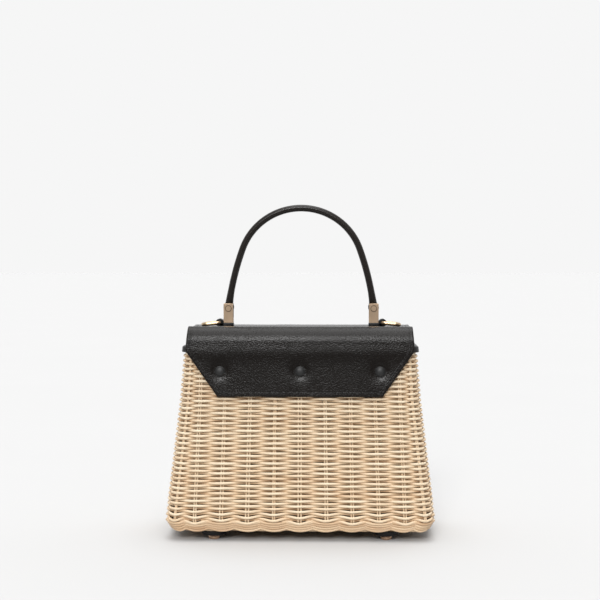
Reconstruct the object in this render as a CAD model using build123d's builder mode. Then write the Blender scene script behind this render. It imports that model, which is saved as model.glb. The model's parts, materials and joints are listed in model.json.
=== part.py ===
from build123d import *
import math
import os

os.makedirs("parts", exist_ok=True)

# A woven basket box bag, in millimetres. The origin is on the floor under the middle of the
# basket, +X is to the right seen from the front, +Y points to the back and +Z is up.

# ---- driving dimensions -------------------------------------------------------------------
# Basket: outer outline (width, depth, corner radius) at four heights above its underside.
BASKET_HEIGHT = 192.0
BASKET_WIDTH = 280.0  # widest, at the shoulder just above the bottom
BASKET_DEPTH = 130.0
BOTTOM_INSET = 4.0  # the underside is this much narrower than the shoulder
SHOULDER_RISE = 11.0
WAIST_RISE = 136.0
WAIST_WIDTH = 250.0
WAIST_DEPTH = 108.0
RIM_WIDTH = 242.0
RIM_DEPTH = 98.0
BOTTOM_CORNER = 18.0
RIM_CORNER = 14.0
BASKET_WALL = 7.0
BASKET_FLOOR = 6.0

# Leather, lining and boards.
BINDING_LEATHER = 1.2
BINDING_HEIGHT = 7.0
BASE_BOARD = 2.5
LINING = 1.2
LINING_TOP_DROP = 2.0  # below the lower edge of the binding
COVER_LEATHER = 2.2
COVER_WIDTH = 239.0
COVER_DROP = 54.0  # from the fold down to the straight lower edge
COVER_CHAMFER_WIDTH = 33.5
COVER_CHAMFER_HEIGHT = 47.7
PANEL_FOOT_GAP = 0.5  # the lower edge of the cover lies this far off the weave
LID_RISE = 16.8  # from the fold up to the leather's flat top
LID_ROLL = 14.5  # outer radius of the front and rear rolls
LID_SHELL_WALL = 2.0
LID_SHELL_TOP = 3.0
LID_SHELL_END = 2.5
LID_LINING = 1.0
FOLD_RISE = 1.2  # from the top of the binding up to the fold line
FOLD_GAP = 2.2  # free height in which the leather bends
LID_SWING = 110.0  # degrees that the lid opens

# Studs that clamp the rear panel to the basket.
STUD_SPACING = 83.5
STUD_BELOW_FOLD = 27.7
STUD_RADIUS = 5.3
STUD_DOME = 2.6
STUD_SHANK_RADIUS = 1.25
STUD_NUT_RADIUS = 4.5
STUD_NUT_THICKNESS = 1.8
SHANK_END = 0.4  # a shank's tip beyond its nut
WALL_CUT = 20.0  # a cutter's reach through the basket's wall

# Magnetic snap under the front flap.
SNAP_BELOW_FOLD = 40.0
SNAP_RADIUS = 8.4
SNAP_BASE_THICKNESS = 2.4
SNAP_PLATE_THICKNESS = 1.2
SNAP_SHANK_RADIUS = 1.5

# Feet.
FOOT_SPACING_X = 181.0
FOOT_SPACING_Y = 88.0
FOOT_PAD_RADIUS = 13.0
FOOT_PAD_HEIGHT = 5.0
FOOT_PAD_EDGE = 1.2
FOOT_STUD_RADIUS = 5.9
FOOT_STUD_HEIGHT = 4.8
FOOT_STUD_EDGE = 0.7
FOOT_SHANK_RADIUS = 1.5
FOOT_NUT_RADIUS = 4.0
FOOT_NUT_THICKNESS = 2.4

# Handle and its fittings.
HANDLE_PIN_X = 78.4
HANDLE_PIN_RISE = 15.5  # from the top of the base plate
HANDLE_TOP_RISE = 128.6  # from the lid's top to the centre line of the arch
HANDLE_ARCH_RADIUS = 67.0
HANDLE_LEG_ANGLE = 20.0  # degrees below which the arch turns into the straighter legs
HANDLE_THICKNESS = 6.8
HANDLE_DEPTH = 8.6
HANDLE_TAB_THICKNESS = 5.0
HANDLE_TAB_RADIUS = 5.6
HANDLE_TAB_RISE = 0.8  # the flats of the end tabs stop this far above the brackets
HANDLE_CORE_GAP = 4.0  # from there up to the end of the cord
HANDLE_CORE_RADIUS = 2.2
BASE_PLATE_THICKNESS = 4.0
BASE_PLATE_LENGTH = 19.0
BASE_PLATE_DEPTH = 11.0
BASE_PLATE_INNER_X = 72.8
BASE_PLATE_CORNER = 2.0
BRACKET_WIDTH = 10.4
BRACKET_HEIGHT = 20.8
BRACKET_PLATE = 1.8
BRACKET_WEB = 5.0
BRACKET_EDGE = 0.3
BRACKET_TAB_GAP = 0.3  # each side, between the plates and the handle's end tab
PIN_RADIUS = 1.5
PIN_HEAD_RADIUS = 3.5
PIN_HEAD_HEIGHT = 0.5
SCREW_SPACING = 6.0
SCREW_RADIUS = 1.2
SCREW_HEAD_RADIUS = 2.3
SCREW_HEAD_HEIGHT = 1.4
SCREW_SLOT = 0.6
SCREW_COVER = 1.0  # bracket metal left over a screw's tip

# Strap rings.
RING_PIVOT_X = 87.8
RING_PIVOT_RISE = 4.2  # above the lid's leather
RING_WIRE_RADIUS = 2.0
RING_LENGTH = 18.1  # from the pivot bar to the outer bar, centre to centre
RING_HALF_WIDTH = 8.4
RING_INNER_BEND = 3.0
RING_OUTER_BEND = 5.0
KNUCKLE_RADIUS = 4.3

# Clearances.
CLOTH_GAP = 0.3  # between soft pieces and what they lie on
BORE_GAP = 0.08  # radial, ring bar in its knuckle
SHANK_GAP = 0.25  # radial, shanks in their holes
SEAT_GAP = 0.1  # nuts and heads on their seats
RIM_GAP = 0.4  # under the closed lid

# ---- heights and places worked out from them ----------------------------------------------
BASKET_BOTTOM = FOOT_STUD_HEIGHT + FOOT_PAD_HEIGHT
BASKET_TOP = BASKET_BOTTOM + BASKET_HEIGHT
SHOULDER_Z = BASKET_BOTTOM + SHOULDER_RISE
WAIST_Z = BASKET_BOTTOM + WAIST_RISE
FLOOR_Z = BASKET_BOTTOM + BASKET_FLOOR
BOARD_Z = FLOOR_Z + CLOTH_GAP
BOARD_TOP = BOARD_Z + BASE_BOARD
FOOT_NUT_Z = BOARD_TOP + SEAT_GAP
LINING_Z = FOOT_NUT_Z + FOOT_NUT_THICKNESS + CLOTH_GAP
BINDING_TOP = BASKET_TOP + CLOTH_GAP + BINDING_LEATHER
BINDING_Z = BINDING_TOP - BINDING_HEIGHT
BINDING_PROUD = CLOTH_GAP / 2 + BINDING_LEATHER
LINING_TOP = BINDING_Z - LINING_TOP_DROP
FOLD_Z = BINDING_TOP + FOLD_RISE
COVER_EDGE_Z = FOLD_Z - COVER_DROP
LID_TOP = FOLD_Z + LID_RISE
BASE_TOP = LID_TOP + BASE_PLATE_THICKNESS
PIN_Z = BASE_TOP + HANDLE_PIN_RISE
BRACKET_TOP = BASE_TOP + BRACKET_HEIGHT
RING_PIVOT_Z = LID_TOP + RING_PIVOT_RISE
STUD_Z = FOLD_Z - STUD_BELOW_FOLD
SNAP_Z = FOLD_Z - SNAP_BELOW_FOLD

# (height, width, depth, corner radius) of the basket's outside.
STATIONS = [
    (BASKET_BOTTOM, BASKET_WIDTH - BOTTOM_INSET, BASKET_DEPTH - BOTTOM_INSET, BOTTOM_CORNER),
    (SHOULDER_Z, BASKET_WIDTH, BASKET_DEPTH, BOTTOM_CORNER),
    (WAIST_Z, WAIST_WIDTH, WAIST_DEPTH, (BOTTOM_CORNER + RIM_CORNER) / 2),
    (BASKET_TOP, RIM_WIDTH, RIM_DEPTH, RIM_CORNER),
]


def outline_at(height):
    """Width, depth and corner radius of the basket's outside at a height."""
    low, high = STATIONS[0], STATIONS[1]
    for first, second in zip(STATIONS, STATIONS[1:]):
        if height > first[0]:
            low, high = first, second
    share = (height - low[0]) / (high[0] - low[0])
    return [a + (b - a) * share for a, b in zip(low[1:], high[1:])]


def wall_y(height):
    """How far the basket's rear wall stands behind the middle, at a height."""
    return outline_at(height)[1] / 2


def basket_block(low, high, grow):
    """A solid that follows the basket's outside from low to high, grown outwards."""
    heights = [low] + [s[0] for s in STATIONS if low < s[0] < high] + [high]
    with BuildPart() as block:
        for height in heights:
            width, depth, corner = outline_at(height)
            with BuildSketch(Plane.XY.offset(height)):
                RectangleRounded(width + 2 * grow, depth + 2 * grow, corner + grow)
        loft(ruled=True)
    return block.part


# The leather cover runs straight from its lower edge, close to the weave, to the fold line,
# and clears the binding on the way.
PANEL_LOW_Y = wall_y(COVER_EDGE_Z) + PANEL_FOOT_GAP
PANEL_BINDING_Y = wall_y(BINDING_Z) + BINDING_PROUD + CLOTH_GAP
PANEL_LEAN = (PANEL_BINDING_Y - PANEL_LOW_Y) / (BINDING_Z - COVER_EDGE_Z)
FOLD_Y = PANEL_LOW_Y + PANEL_LEAN * COVER_DROP + COVER_LEATHER / 2


def panel_y(height, out=0.0):
    """How far the cover's inner face stands from the middle at a height, plus out."""
    return PANEL_LOW_Y + PANEL_LEAN * (height - COVER_EDGE_Z) + out


def panel_plane(height, side, out=0.0):
    """A plane on the cover's leaning face: side 1 at the back, -1 at the front."""
    return Plane(
        origin=(0, side * panel_y(height, out), height),
        x_dir=(-side, 0, 0),
        z_dir=(0, side, -PANEL_LEAN),
    )


def chamfer_points():
    """Corner cut at the +X lower corner of the cover, as points of X and Z."""
    side_x = COVER_WIDTH / 2
    cut_z = COVER_EDGE_Z + COVER_CHAMFER_HEIGHT
    low_x = side_x - COVER_CHAMFER_WIDTH
    outside = side_x + 1
    below = COVER_EDGE_Z - 1
    return [
        (side_x, cut_z),
        (outside, cut_z),
        (outside, below),
        (low_x, below),
        (low_x, COVER_EDGE_Z),
    ]


def corner_cutters(depth):
    """The two prisms that cut the cover's lower corners, depth mm towards -Y."""
    with BuildPart() as cutters:
        with BuildSketch(Plane.XZ):
            Polygon(*chamfer_points(), align=None)
            mirror(about=Plane.YZ)
        extrude(amount=depth)
    return cutters.part


def peg(plane, radius, low, high, x=0.0):
    """A round cutter or shank on a plane, from low to high along its normal."""
    with BuildPart() as shaft:
        with BuildSketch(plane.offset(low)):
            with Locations((x, 0)):
                Circle(radius)
        extrude(amount=high - low)
    return shaft.part


# ---- basket -------------------------------------------------------------------------------
REAR_STUDS = panel_plane(STUD_Z, 1)
FRONT_SNAP = panel_plane(SNAP_Z, -1)
STUD_XS = [-STUD_SPACING, 0.0, STUD_SPACING]
FOOT_SPOTS = [
    (side * FOOT_SPACING_X / 2, end * FOOT_SPACING_Y / 2) for end in (1, -1) for side in (1, -1)
]
SNAP_STANDOFF = SNAP_PLATE_THICKNESS / 6
SNAP_FLOOR = -(PANEL_FOOT_GAP + SNAP_BASE_THICKNESS + SNAP_STANDOFF)
WALL_INSIDE = BASKET_WALL + CLOTH_GAP + LINING

outside = basket_block(BASKET_BOTTOM, BASKET_TOP, 0)
inside = basket_block(FLOOR_Z, BASKET_TOP + 1, -BASKET_WALL)
with BuildPart() as basket:
    add(outside)
    add(inside, mode=Mode.SUBTRACT)
    for stud_x in STUD_XS:
        add(peg(REAR_STUDS, STUD_SHANK_RADIUS + SHANK_GAP, -WALL_CUT, 0, stud_x), mode=Mode.SUBTRACT)
    add(peg(FRONT_SNAP, SNAP_SHANK_RADIUS + SHANK_GAP, -WALL_CUT, 0), mode=Mode.SUBTRACT)
    add(peg(FRONT_SNAP, SNAP_RADIUS + CLOTH_GAP, SNAP_FLOOR - SEAT_GAP, WALL_CUT), mode=Mode.SUBTRACT)
    with Locations(*[(x, y, FLOOR_Z) for x, y in FOOT_SPOTS]):
        Cylinder(FOOT_SHANK_RADIUS + SHANK_GAP, 3 * BASKET_FLOOR, mode=Mode.SUBTRACT)
basket.part.label = "basket"
export_step(basket.part, "parts/basket.step")

# ---- rim binding: one strip of leather folded over the rim --------------------------------
binding_outside = basket_block(BINDING_Z, BINDING_TOP, BINDING_PROUD)
binding_inside = basket_block(BINDING_Z - 1, BINDING_TOP + 1, -BASKET_WALL - BINDING_PROUD)
SLOT_TOP = BASKET_TOP + CLOTH_GAP
slot_outside = basket_block(BINDING_Z - 1, SLOT_TOP, CLOTH_GAP / 2)
slot_inside = basket_block(BINDING_Z - 2, SLOT_TOP + 1, -BASKET_WALL - CLOTH_GAP / 2)
with BuildPart() as rim_slot:
    add(slot_outside)
    add(slot_inside, mode=Mode.SUBTRACT)
with BuildPart() as rim_binding:
    add(binding_outside)
    add(binding_inside, mode=Mode.SUBTRACT)
    add(rim_slot.part, mode=Mode.SUBTRACT)
rim_binding.part.label = "rim_binding"
export_step(rim_binding.part, "parts/rim_binding.step")

# ---- base board and lining ----------------------------------------------------------------
with BuildPart() as base_board:
    add(basket_block(BOARD_Z, BOARD_TOP, -BASKET_WALL - CLOTH_GAP))
    with Locations(*[(x, y, BOARD_Z) for x, y in FOOT_SPOTS]):
        Cylinder(FOOT_SHANK_RADIUS + SHANK_GAP, 3 * BASE_BOARD, mode=Mode.SUBTRACT)
base_board.part.label = "base_board"
export_step(base_board.part, "parts/base_board.step")

lining_outside = basket_block(LINING_Z, LINING_TOP, -BASKET_WALL - CLOTH_GAP)
lining_inside = basket_block(LINING_Z + LINING, LINING_TOP + 1, -WALL_INSIDE)
with BuildPart() as lining:
    add(lining_outside)
    add(lining_inside, mode=Mode.SUBTRACT)
    for stud_x in STUD_XS:
        add(peg(REAR_STUDS, STUD_SHANK_RADIUS + SHANK_GAP, -WALL_CUT, 0, stud_x), mode=Mode.SUBTRACT)
    add(peg(FRONT_SNAP, SNAP_SHANK_RADIUS + SHANK_GAP, -WALL_CUT, 0), mode=Mode.SUBTRACT)
lining.part.label = "lining"
export_step(lining.part, "parts/lining.step")

# ---- rear panel: the part of the cover that the studs clamp to the basket -----------------
PANEL_CUT = 3 * COVER_LEATHER
rear_corner_cutters = corner_cutters(-2 * BASKET_DEPTH)
with BuildPart() as rear_panel:
    with BuildSketch(Plane.YZ):
        Polygon(
            (panel_y(COVER_EDGE_Z), COVER_EDGE_Z),
            (panel_y(COVER_EDGE_Z, COVER_LEATHER), COVER_EDGE_Z),
            (panel_y(FOLD_Z, COVER_LEATHER), FOLD_Z),
            (panel_y(FOLD_Z), FOLD_Z),
            align=None,
        )
    extrude(amount=COVER_WIDTH / 2, both=True)
    add(rear_corner_cutters, mode=Mode.SUBTRACT)
    for stud_x in STUD_XS:
        shank_hole = peg(REAR_STUDS, STUD_SHANK_RADIUS + SHANK_GAP, -PANEL_CUT, PANEL_CUT, stud_x)
        add(shank_hole, mode=Mode.SUBTRACT)
rear_panel.part.label = "rear_panel"
export_step(rear_panel.part, "parts/rear_panel.step")

# ---- studs and their nuts -----------------------------------------------------------------
# Along the stud's axis, 0 is the panel's inner face. The nut seats inside on the lining.
NUT_SEAT = -(panel_y(STUD_Z) - wall_y(STUD_Z) + WALL_INSIDE + 3 * SEAT_GAP)
STUD_TIP = NUT_SEAT - STUD_NUT_THICKNESS - SHANK_END
STUD_SEAT = COVER_LEATHER + SEAT_GAP
STUD_NAMES = ["right", "centre", "left"]
for stud_name, stud_x in zip(STUD_NAMES, STUD_XS):
    with BuildPart() as stud:
        with BuildSketch(REAR_STUDS.offset(STUD_TIP)):
            with Locations((stud_x, 0)):
                Circle(STUD_SHANK_RADIUS)
        extrude(amount=STUD_SEAT - STUD_TIP)
        with BuildSketch(REAR_STUDS.offset(STUD_SEAT)):
            with Locations((stud_x, 0)):
                Circle(STUD_RADIUS)
        extrude(amount=STUD_DOME)
        rim = stud.edges().filter_by(GeomType.CIRCLE).sort_by(SortBy.RADIUS)[-2:]
        fillet(rim.sort_by(Axis.Y)[-1], STUD_DOME * 0.8)
    stud.part.label = "panel_stud_" + stud_name
    export_step(stud.part, "parts/panel_stud_" + stud_name + ".step")

    with BuildPart() as nut:
        with BuildSketch(REAR_STUDS.offset(NUT_SEAT)):
            with Locations((stud_x, 0)):
                Circle(STUD_NUT_RADIUS)
                Circle(STUD_SHANK_RADIUS + SEAT_GAP / 2, mode=Mode.SUBTRACT)
        extrude(amount=-STUD_NUT_THICKNESS)
    nut.part.label = "stud_nut_" + stud_name
    export_step(nut.part, "parts/stud_nut_" + stud_name + ".step")

# ---- magnetic snap: base in the weave, plate in the flap ----------------------------------
# Along the snap's axis, 0 is the flap's inner face.
SNAP_NUT_SEAT = -(panel_y(SNAP_Z) - wall_y(SNAP_Z) + WALL_INSIDE + 3 * SEAT_GAP)
with BuildPart() as snap_base:
    with BuildSketch(FRONT_SNAP.offset(SNAP_FLOOR)):
        Circle(SNAP_RADIUS)
    extrude(amount=SNAP_BASE_THICKNESS)
    chamfer(snap_base.edges().sort_by(Axis.Y)[0], SNAP_BASE_THICKNESS / 6)
    with BuildSketch(FRONT_SNAP.offset(SNAP_FLOOR)):
        Circle(SNAP_SHANK_RADIUS)
    extrude(amount=SNAP_NUT_SEAT - STUD_NUT_THICKNESS - SHANK_END - SNAP_FLOOR)
snap_base.part.label = "snap_base"
export_step(snap_base.part, "parts/snap_base.step")

with BuildPart() as snap_nut:
    with BuildSketch(FRONT_SNAP.offset(SNAP_NUT_SEAT)):
        Circle(STUD_NUT_RADIUS)
        Circle(SNAP_SHANK_RADIUS + SEAT_GAP / 2, mode=Mode.SUBTRACT)
    extrude(amount=-STUD_NUT_THICKNESS)
snap_nut.part.label = "snap_nut"
export_step(snap_nut.part, "parts/snap_nut.step")

with BuildPart() as snap_plate:
    with BuildSketch(FRONT_SNAP):
        Circle(SNAP_RADIUS)
    extrude(amount=SNAP_PLATE_THICKNESS)
snap_plate.part.label = "snap_plate"
export_step(snap_plate.part, "parts/snap_plate.step")

# ---- feet: a leather pad under the basket, a metal stud and its nut -----------------------
FOOT_NAMES = ["rear_right", "rear_left", "front_right", "front_left"]
for foot_name, (foot_x, foot_y) in zip(FOOT_NAMES, FOOT_SPOTS):
    with BuildPart() as foot_pad:
        with BuildSketch(Plane.XY.offset(FOOT_STUD_HEIGHT)):
            with Locations((foot_x, foot_y)):
                Circle(FOOT_PAD_RADIUS)
                Circle(FOOT_SHANK_RADIUS + SHANK_GAP, mode=Mode.SUBTRACT)
        extrude(amount=FOOT_PAD_HEIGHT)
        fillet(foot_pad.edges().group_by(Axis.Z)[0].sort_by(SortBy.RADIUS)[-1], FOOT_PAD_EDGE)
    foot_pad.part.label = "foot_pad_" + foot_name
    export_step(foot_pad.part, "parts/foot_pad_" + foot_name + ".step")

    with BuildPart() as foot_stud:
        with BuildSketch(Plane.XY):
            with Locations((foot_x, foot_y)):
                Circle(FOOT_STUD_RADIUS)
        extrude(amount=FOOT_STUD_HEIGHT)
        fillet(foot_stud.edges().group_by(Axis.Z)[0], FOOT_STUD_EDGE)
        with BuildSketch(Plane.XY.offset(FOOT_STUD_HEIGHT)):
            with Locations((foot_x, foot_y)):
                Circle(FOOT_SHANK_RADIUS)
        extrude(amount=FOOT_NUT_Z + FOOT_NUT_THICKNESS - FOOT_STUD_HEIGHT)
    foot_stud.part.label = "foot_stud_" + foot_name
    export_step(foot_stud.part, "parts/foot_stud_" + foot_name + ".step")

    with BuildPart() as foot_nut:
        with BuildSketch(Plane.XY.offset(FOOT_NUT_Z)):
            with Locations((foot_x, foot_y)):
                RegularPolygon(FOOT_NUT_RADIUS, 6)
                Circle(FOOT_SHANK_RADIUS + SEAT_GAP / 2, mode=Mode.SUBTRACT)
        extrude(amount=FOOT_NUT_THICKNESS)
    foot_nut.part.label = "foot_nut_" + foot_name
    export_step(foot_nut.part, "parts/foot_nut_" + foot_name + ".step")

# ---- lid cover: leather over the top and down the front as a flap -------------------------
SCREW_XS = [HANDLE_PIN_X - SCREW_SPACING / 2, HANDLE_PIN_X + SCREW_SPACING / 2]
SCREW_SPOTS = [(side * x, 0) for side in (1, -1) for x in SCREW_XS]


def lid_profile(rear_z, front_z, inset, top_drop, roll):
    """Corners of the lid's section in Y and Z, inset from the cover's inner face."""
    top = LID_TOP - top_drop
    return [
        (panel_y(rear_z, -inset), rear_z),
        (panel_y(top, -inset), top),
        (-panel_y(top, -inset), top),
        (-panel_y(front_z, -inset), front_z),
    ], roll


cover_outer, cover_outer_roll = lid_profile(
    FOLD_Z + FOLD_GAP, COVER_EDGE_Z, -COVER_LEATHER, 0, LID_ROLL
)
cover_inner, cover_inner_roll = lid_profile(
    FOLD_Z + FOLD_GAP, COVER_EDGE_Z, 0, COVER_LEATHER, LID_ROLL - COVER_LEATHER
)
front_corner_cutters = corner_cutters(2 * BASKET_DEPTH)
with BuildPart() as lid_cover:
    with BuildSketch(Plane.YZ):
        with BuildLine():
            outer_line = FilletPolyline(*cover_outer, radius=cover_outer_roll)
            inner_line = FilletPolyline(*cover_inner, radius=cover_inner_roll)
            Line(outer_line @ 0, inner_line @ 0)
            Line(outer_line @ 1, inner_line @ 1)
        make_face()
    extrude(amount=COVER_WIDTH / 2, both=True)
    add(front_corner_cutters, mode=Mode.SUBTRACT)
    plate_pocket = peg(FRONT_SNAP, SNAP_RADIUS + SEAT_GAP, -PANEL_CUT, SNAP_PLATE_THICKNESS + SEAT_GAP)
    add(plate_pocket, mode=Mode.SUBTRACT)
    with Locations(*[(x, y, LID_TOP) for x, y in SCREW_SPOTS]):
        Cylinder(SCREW_RADIUS + SHANK_GAP, 4 * COVER_LEATHER, mode=Mode.SUBTRACT)
lid_cover.part.label = "lid_cover"
export_step(lid_cover.part, "parts/lid_cover.step")

# ---- lid shell: moulded tray, upside down, that gives the lid its form --------------------
SHELL_Z = BINDING_TOP + RIM_GAP
SHELL_DROP = COVER_LEATHER + CLOTH_GAP
SHELL_INSET = 2 * CLOTH_GAP
SHELL_HALF_WIDTH = COVER_WIDTH / 2 - 2
SHELL_UNDER = LID_TOP - SHELL_DROP - LID_SHELL_TOP
SHELL_ROLL = LID_ROLL - COVER_LEATHER - SHELL_INSET


def lid_tray(bottom_z, inset, top_drop, roll, half_width):
    """A solid with the lid's section between its two ends."""
    corners, bend = lid_profile(bottom_z, bottom_z, inset, top_drop, roll)
    with BuildPart() as tray:
        with BuildSketch(Plane.YZ):
            with BuildLine():
                section = FilletPolyline(*corners, radius=bend)
                Line(section @ 1, section @ 0)
            make_face()
        extrude(amount=half_width, both=True)
    return tray.part


POCKET_INSET = SHELL_INSET + LID_SHELL_WALL
POCKET_ROLL = SHELL_ROLL - LID_SHELL_WALL
shell_outside = lid_tray(SHELL_Z, SHELL_INSET, SHELL_DROP, SHELL_ROLL, SHELL_HALF_WIDTH)
shell_inside = lid_tray(
    SHELL_Z - 1,
    POCKET_INSET,
    SHELL_DROP + LID_SHELL_TOP,
    POCKET_ROLL,
    SHELL_HALF_WIDTH - LID_SHELL_END,
)
with BuildPart() as lid_shell:
    add(shell_outside)
    add(shell_inside, mode=Mode.SUBTRACT)
    with Locations(*[(x, y, SHELL_UNDER) for x, y in SCREW_SPOTS]):
        Cylinder(SCREW_RADIUS + SHANK_GAP, 4 * LID_SHELL_TOP, mode=Mode.SUBTRACT)
        Cylinder(
            SCREW_HEAD_RADIUS + SHANK_GAP,
            2 * (SCREW_HEAD_HEIGHT + SEAT_GAP),
            mode=Mode.SUBTRACT,
        )
lid_shell.part.label = "lid_shell"
export_step(lid_shell.part, "parts/lid_shell.step")

# ---- lid lining ---------------------------------------------------------------------------
LINING_INSET = POCKET_INSET + CLOTH_GAP
LINING_DROP = SHELL_DROP + LID_SHELL_TOP + CLOTH_GAP
LINING_HALF_WIDTH = SHELL_HALF_WIDTH - LID_SHELL_END - CLOTH_GAP
lid_lining_outside = lid_tray(
    SHELL_Z + RIM_GAP, LINING_INSET, LINING_DROP, POCKET_ROLL - CLOTH_GAP, LINING_HALF_WIDTH
)
lid_lining_inside = lid_tray(
    SHELL_Z - 1,
    LINING_INSET + LID_LINING,
    LINING_DROP + LID_LINING,
    POCKET_ROLL - CLOTH_GAP - LID_LINING,
    LINING_HALF_WIDTH - LID_LINING,
)
with BuildPart() as lid_lining:
    add(lid_lining_outside)
    add(lid_lining_inside, mode=Mode.SUBTRACT)
lid_lining.part.label = "lid_lining"
export_step(lid_lining.part, "parts/lid_lining.step")

# ---- handle: leather rolled round a cord, with a flat tab at each end ---------------------
# The arch is one round arc on top and a flatter arc down each leg, tangent to it.
ARCH_CENTRE_Z = LID_TOP + HANDLE_TOP_RISE - HANDLE_ARCH_RADIUS
LEG_ANGLE = math.radians(HANDLE_LEG_ANGLE)
LEG_TOP_X = HANDLE_ARCH_RADIUS * math.cos(LEG_ANGLE)
LEG_TOP_Z = ARCH_CENTRE_Z + HANDLE_ARCH_RADIUS * math.sin(LEG_ANGLE)
LEG_LEAN = (math.sin(LEG_ANGLE), -math.cos(LEG_ANGLE))


def handle_rod(half_depth, half_thickness):
    """A rod with an oval section along the handle's centre line, from pin to pin."""
    with BuildPart() as rod:
        with BuildLine(Plane.XZ) as arch:
            right_leg = TangentArc(
                (LEG_TOP_X, LEG_TOP_Z), (HANDLE_PIN_X, PIN_Z), tangent=LEG_LEAN
            )
            ThreePointArc(
                (LEG_TOP_X, LEG_TOP_Z),
                (0, LID_TOP + HANDLE_TOP_RISE),
                (-LEG_TOP_X, LEG_TOP_Z),
            )
            mirror(right_leg, about=Plane.YZ)
        end = arch.wire() @ 0
        with BuildSketch(Plane(origin=end, x_dir=(0, 1, 0), z_dir=arch.wire() % 0)):
            Ellipse(half_depth, half_thickness)
        sweep()
    return rod.part


TAB_TOP = BRACKET_TOP + HANDLE_TAB_RISE
CORE_END = TAB_TOP + HANDLE_CORE_GAP
core_rod = handle_rod(HANDLE_CORE_RADIUS, HANDLE_CORE_RADIUS)
bore_rod = handle_rod(HANDLE_CORE_RADIUS + SEAT_GAP, HANDLE_CORE_RADIUS + SEAT_GAP)
with BuildPart() as handle_core:
    add(core_rod)
    split(bisect_by=Plane.XY.offset(CORE_END), keep=Keep.TOP)
handle_core.part.label = "handle_core"
export_step(handle_core.part, "parts/handle_core.step")

with BuildPart() as core_bore:
    add(bore_rod)
    split(bisect_by=Plane.XY.offset(CORE_END - SEAT_GAP), keep=Keep.TOP)

leather_rod = handle_rod(HANDLE_DEPTH / 2, HANDLE_THICKNESS / 2)
TAB_CUT_LENGTH = 2 * HANDLE_TAB_RADIUS + HANDLE_THICKNESS
TAB_CUT_HEIGHT = BRACKET_HEIGHT
TAB_CUT_Y = (HANDLE_TAB_THICKNESS + HANDLE_DEPTH) / 2
TAB_CUT_Z = TAB_TOP - TAB_CUT_HEIGHT / 2
with BuildPart() as handle:
    add(leather_rod)
    add(core_bore.part, mode=Mode.SUBTRACT)
    with Locations(
        *[
            (side * HANDLE_PIN_X, face * TAB_CUT_Y, TAB_CUT_Z)
            for side in (1, -1)
            for face in (1, -1)
        ]
    ):
        Box(TAB_CUT_LENGTH, HANDLE_DEPTH, TAB_CUT_HEIGHT, mode=Mode.SUBTRACT)
    with BuildSketch(Plane.XZ.offset(-HANDLE_TAB_THICKNESS / 2)):
        with Locations((HANDLE_PIN_X, PIN_Z), (-HANDLE_PIN_X, PIN_Z)):
            Circle(HANDLE_TAB_RADIUS)
    extrude(amount=HANDLE_TAB_THICKNESS)
    with BuildSketch(Plane.XZ.offset(-HANDLE_DEPTH)):
        with Locations((HANDLE_PIN_X, PIN_Z), (-HANDLE_PIN_X, PIN_Z)):
            Circle(PIN_RADIUS + SEAT_GAP)
    extrude(amount=2 * HANDLE_DEPTH, mode=Mode.SUBTRACT)
handle.part.label = "handle"
export_step(handle.part, "parts/handle.step")

# ---- handle fittings: base plate with knuckle, bracket, pin, screws and strap ring --------
BRACKET_HALF_GAP = HANDLE_TAB_THICKNESS / 2 + BRACKET_TAB_GAP
BRACKET_HALF_DEPTH = BRACKET_HALF_GAP + BRACKET_PLATE
BASE_PLATE_X = BASE_PLATE_INNER_X + BASE_PLATE_LENGTH / 2
RING_DROP = RING_PIVOT_RISE - RING_WIRE_RADIUS - CLOTH_GAP
RING_TILT = math.asin(RING_DROP / RING_LENGTH)
SCREW_HEAD_Z = SHELL_UNDER + SCREW_HEAD_HEIGHT
SCREW_TIP = BASE_TOP + BRACKET_WEB - SCREW_COVER

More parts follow.
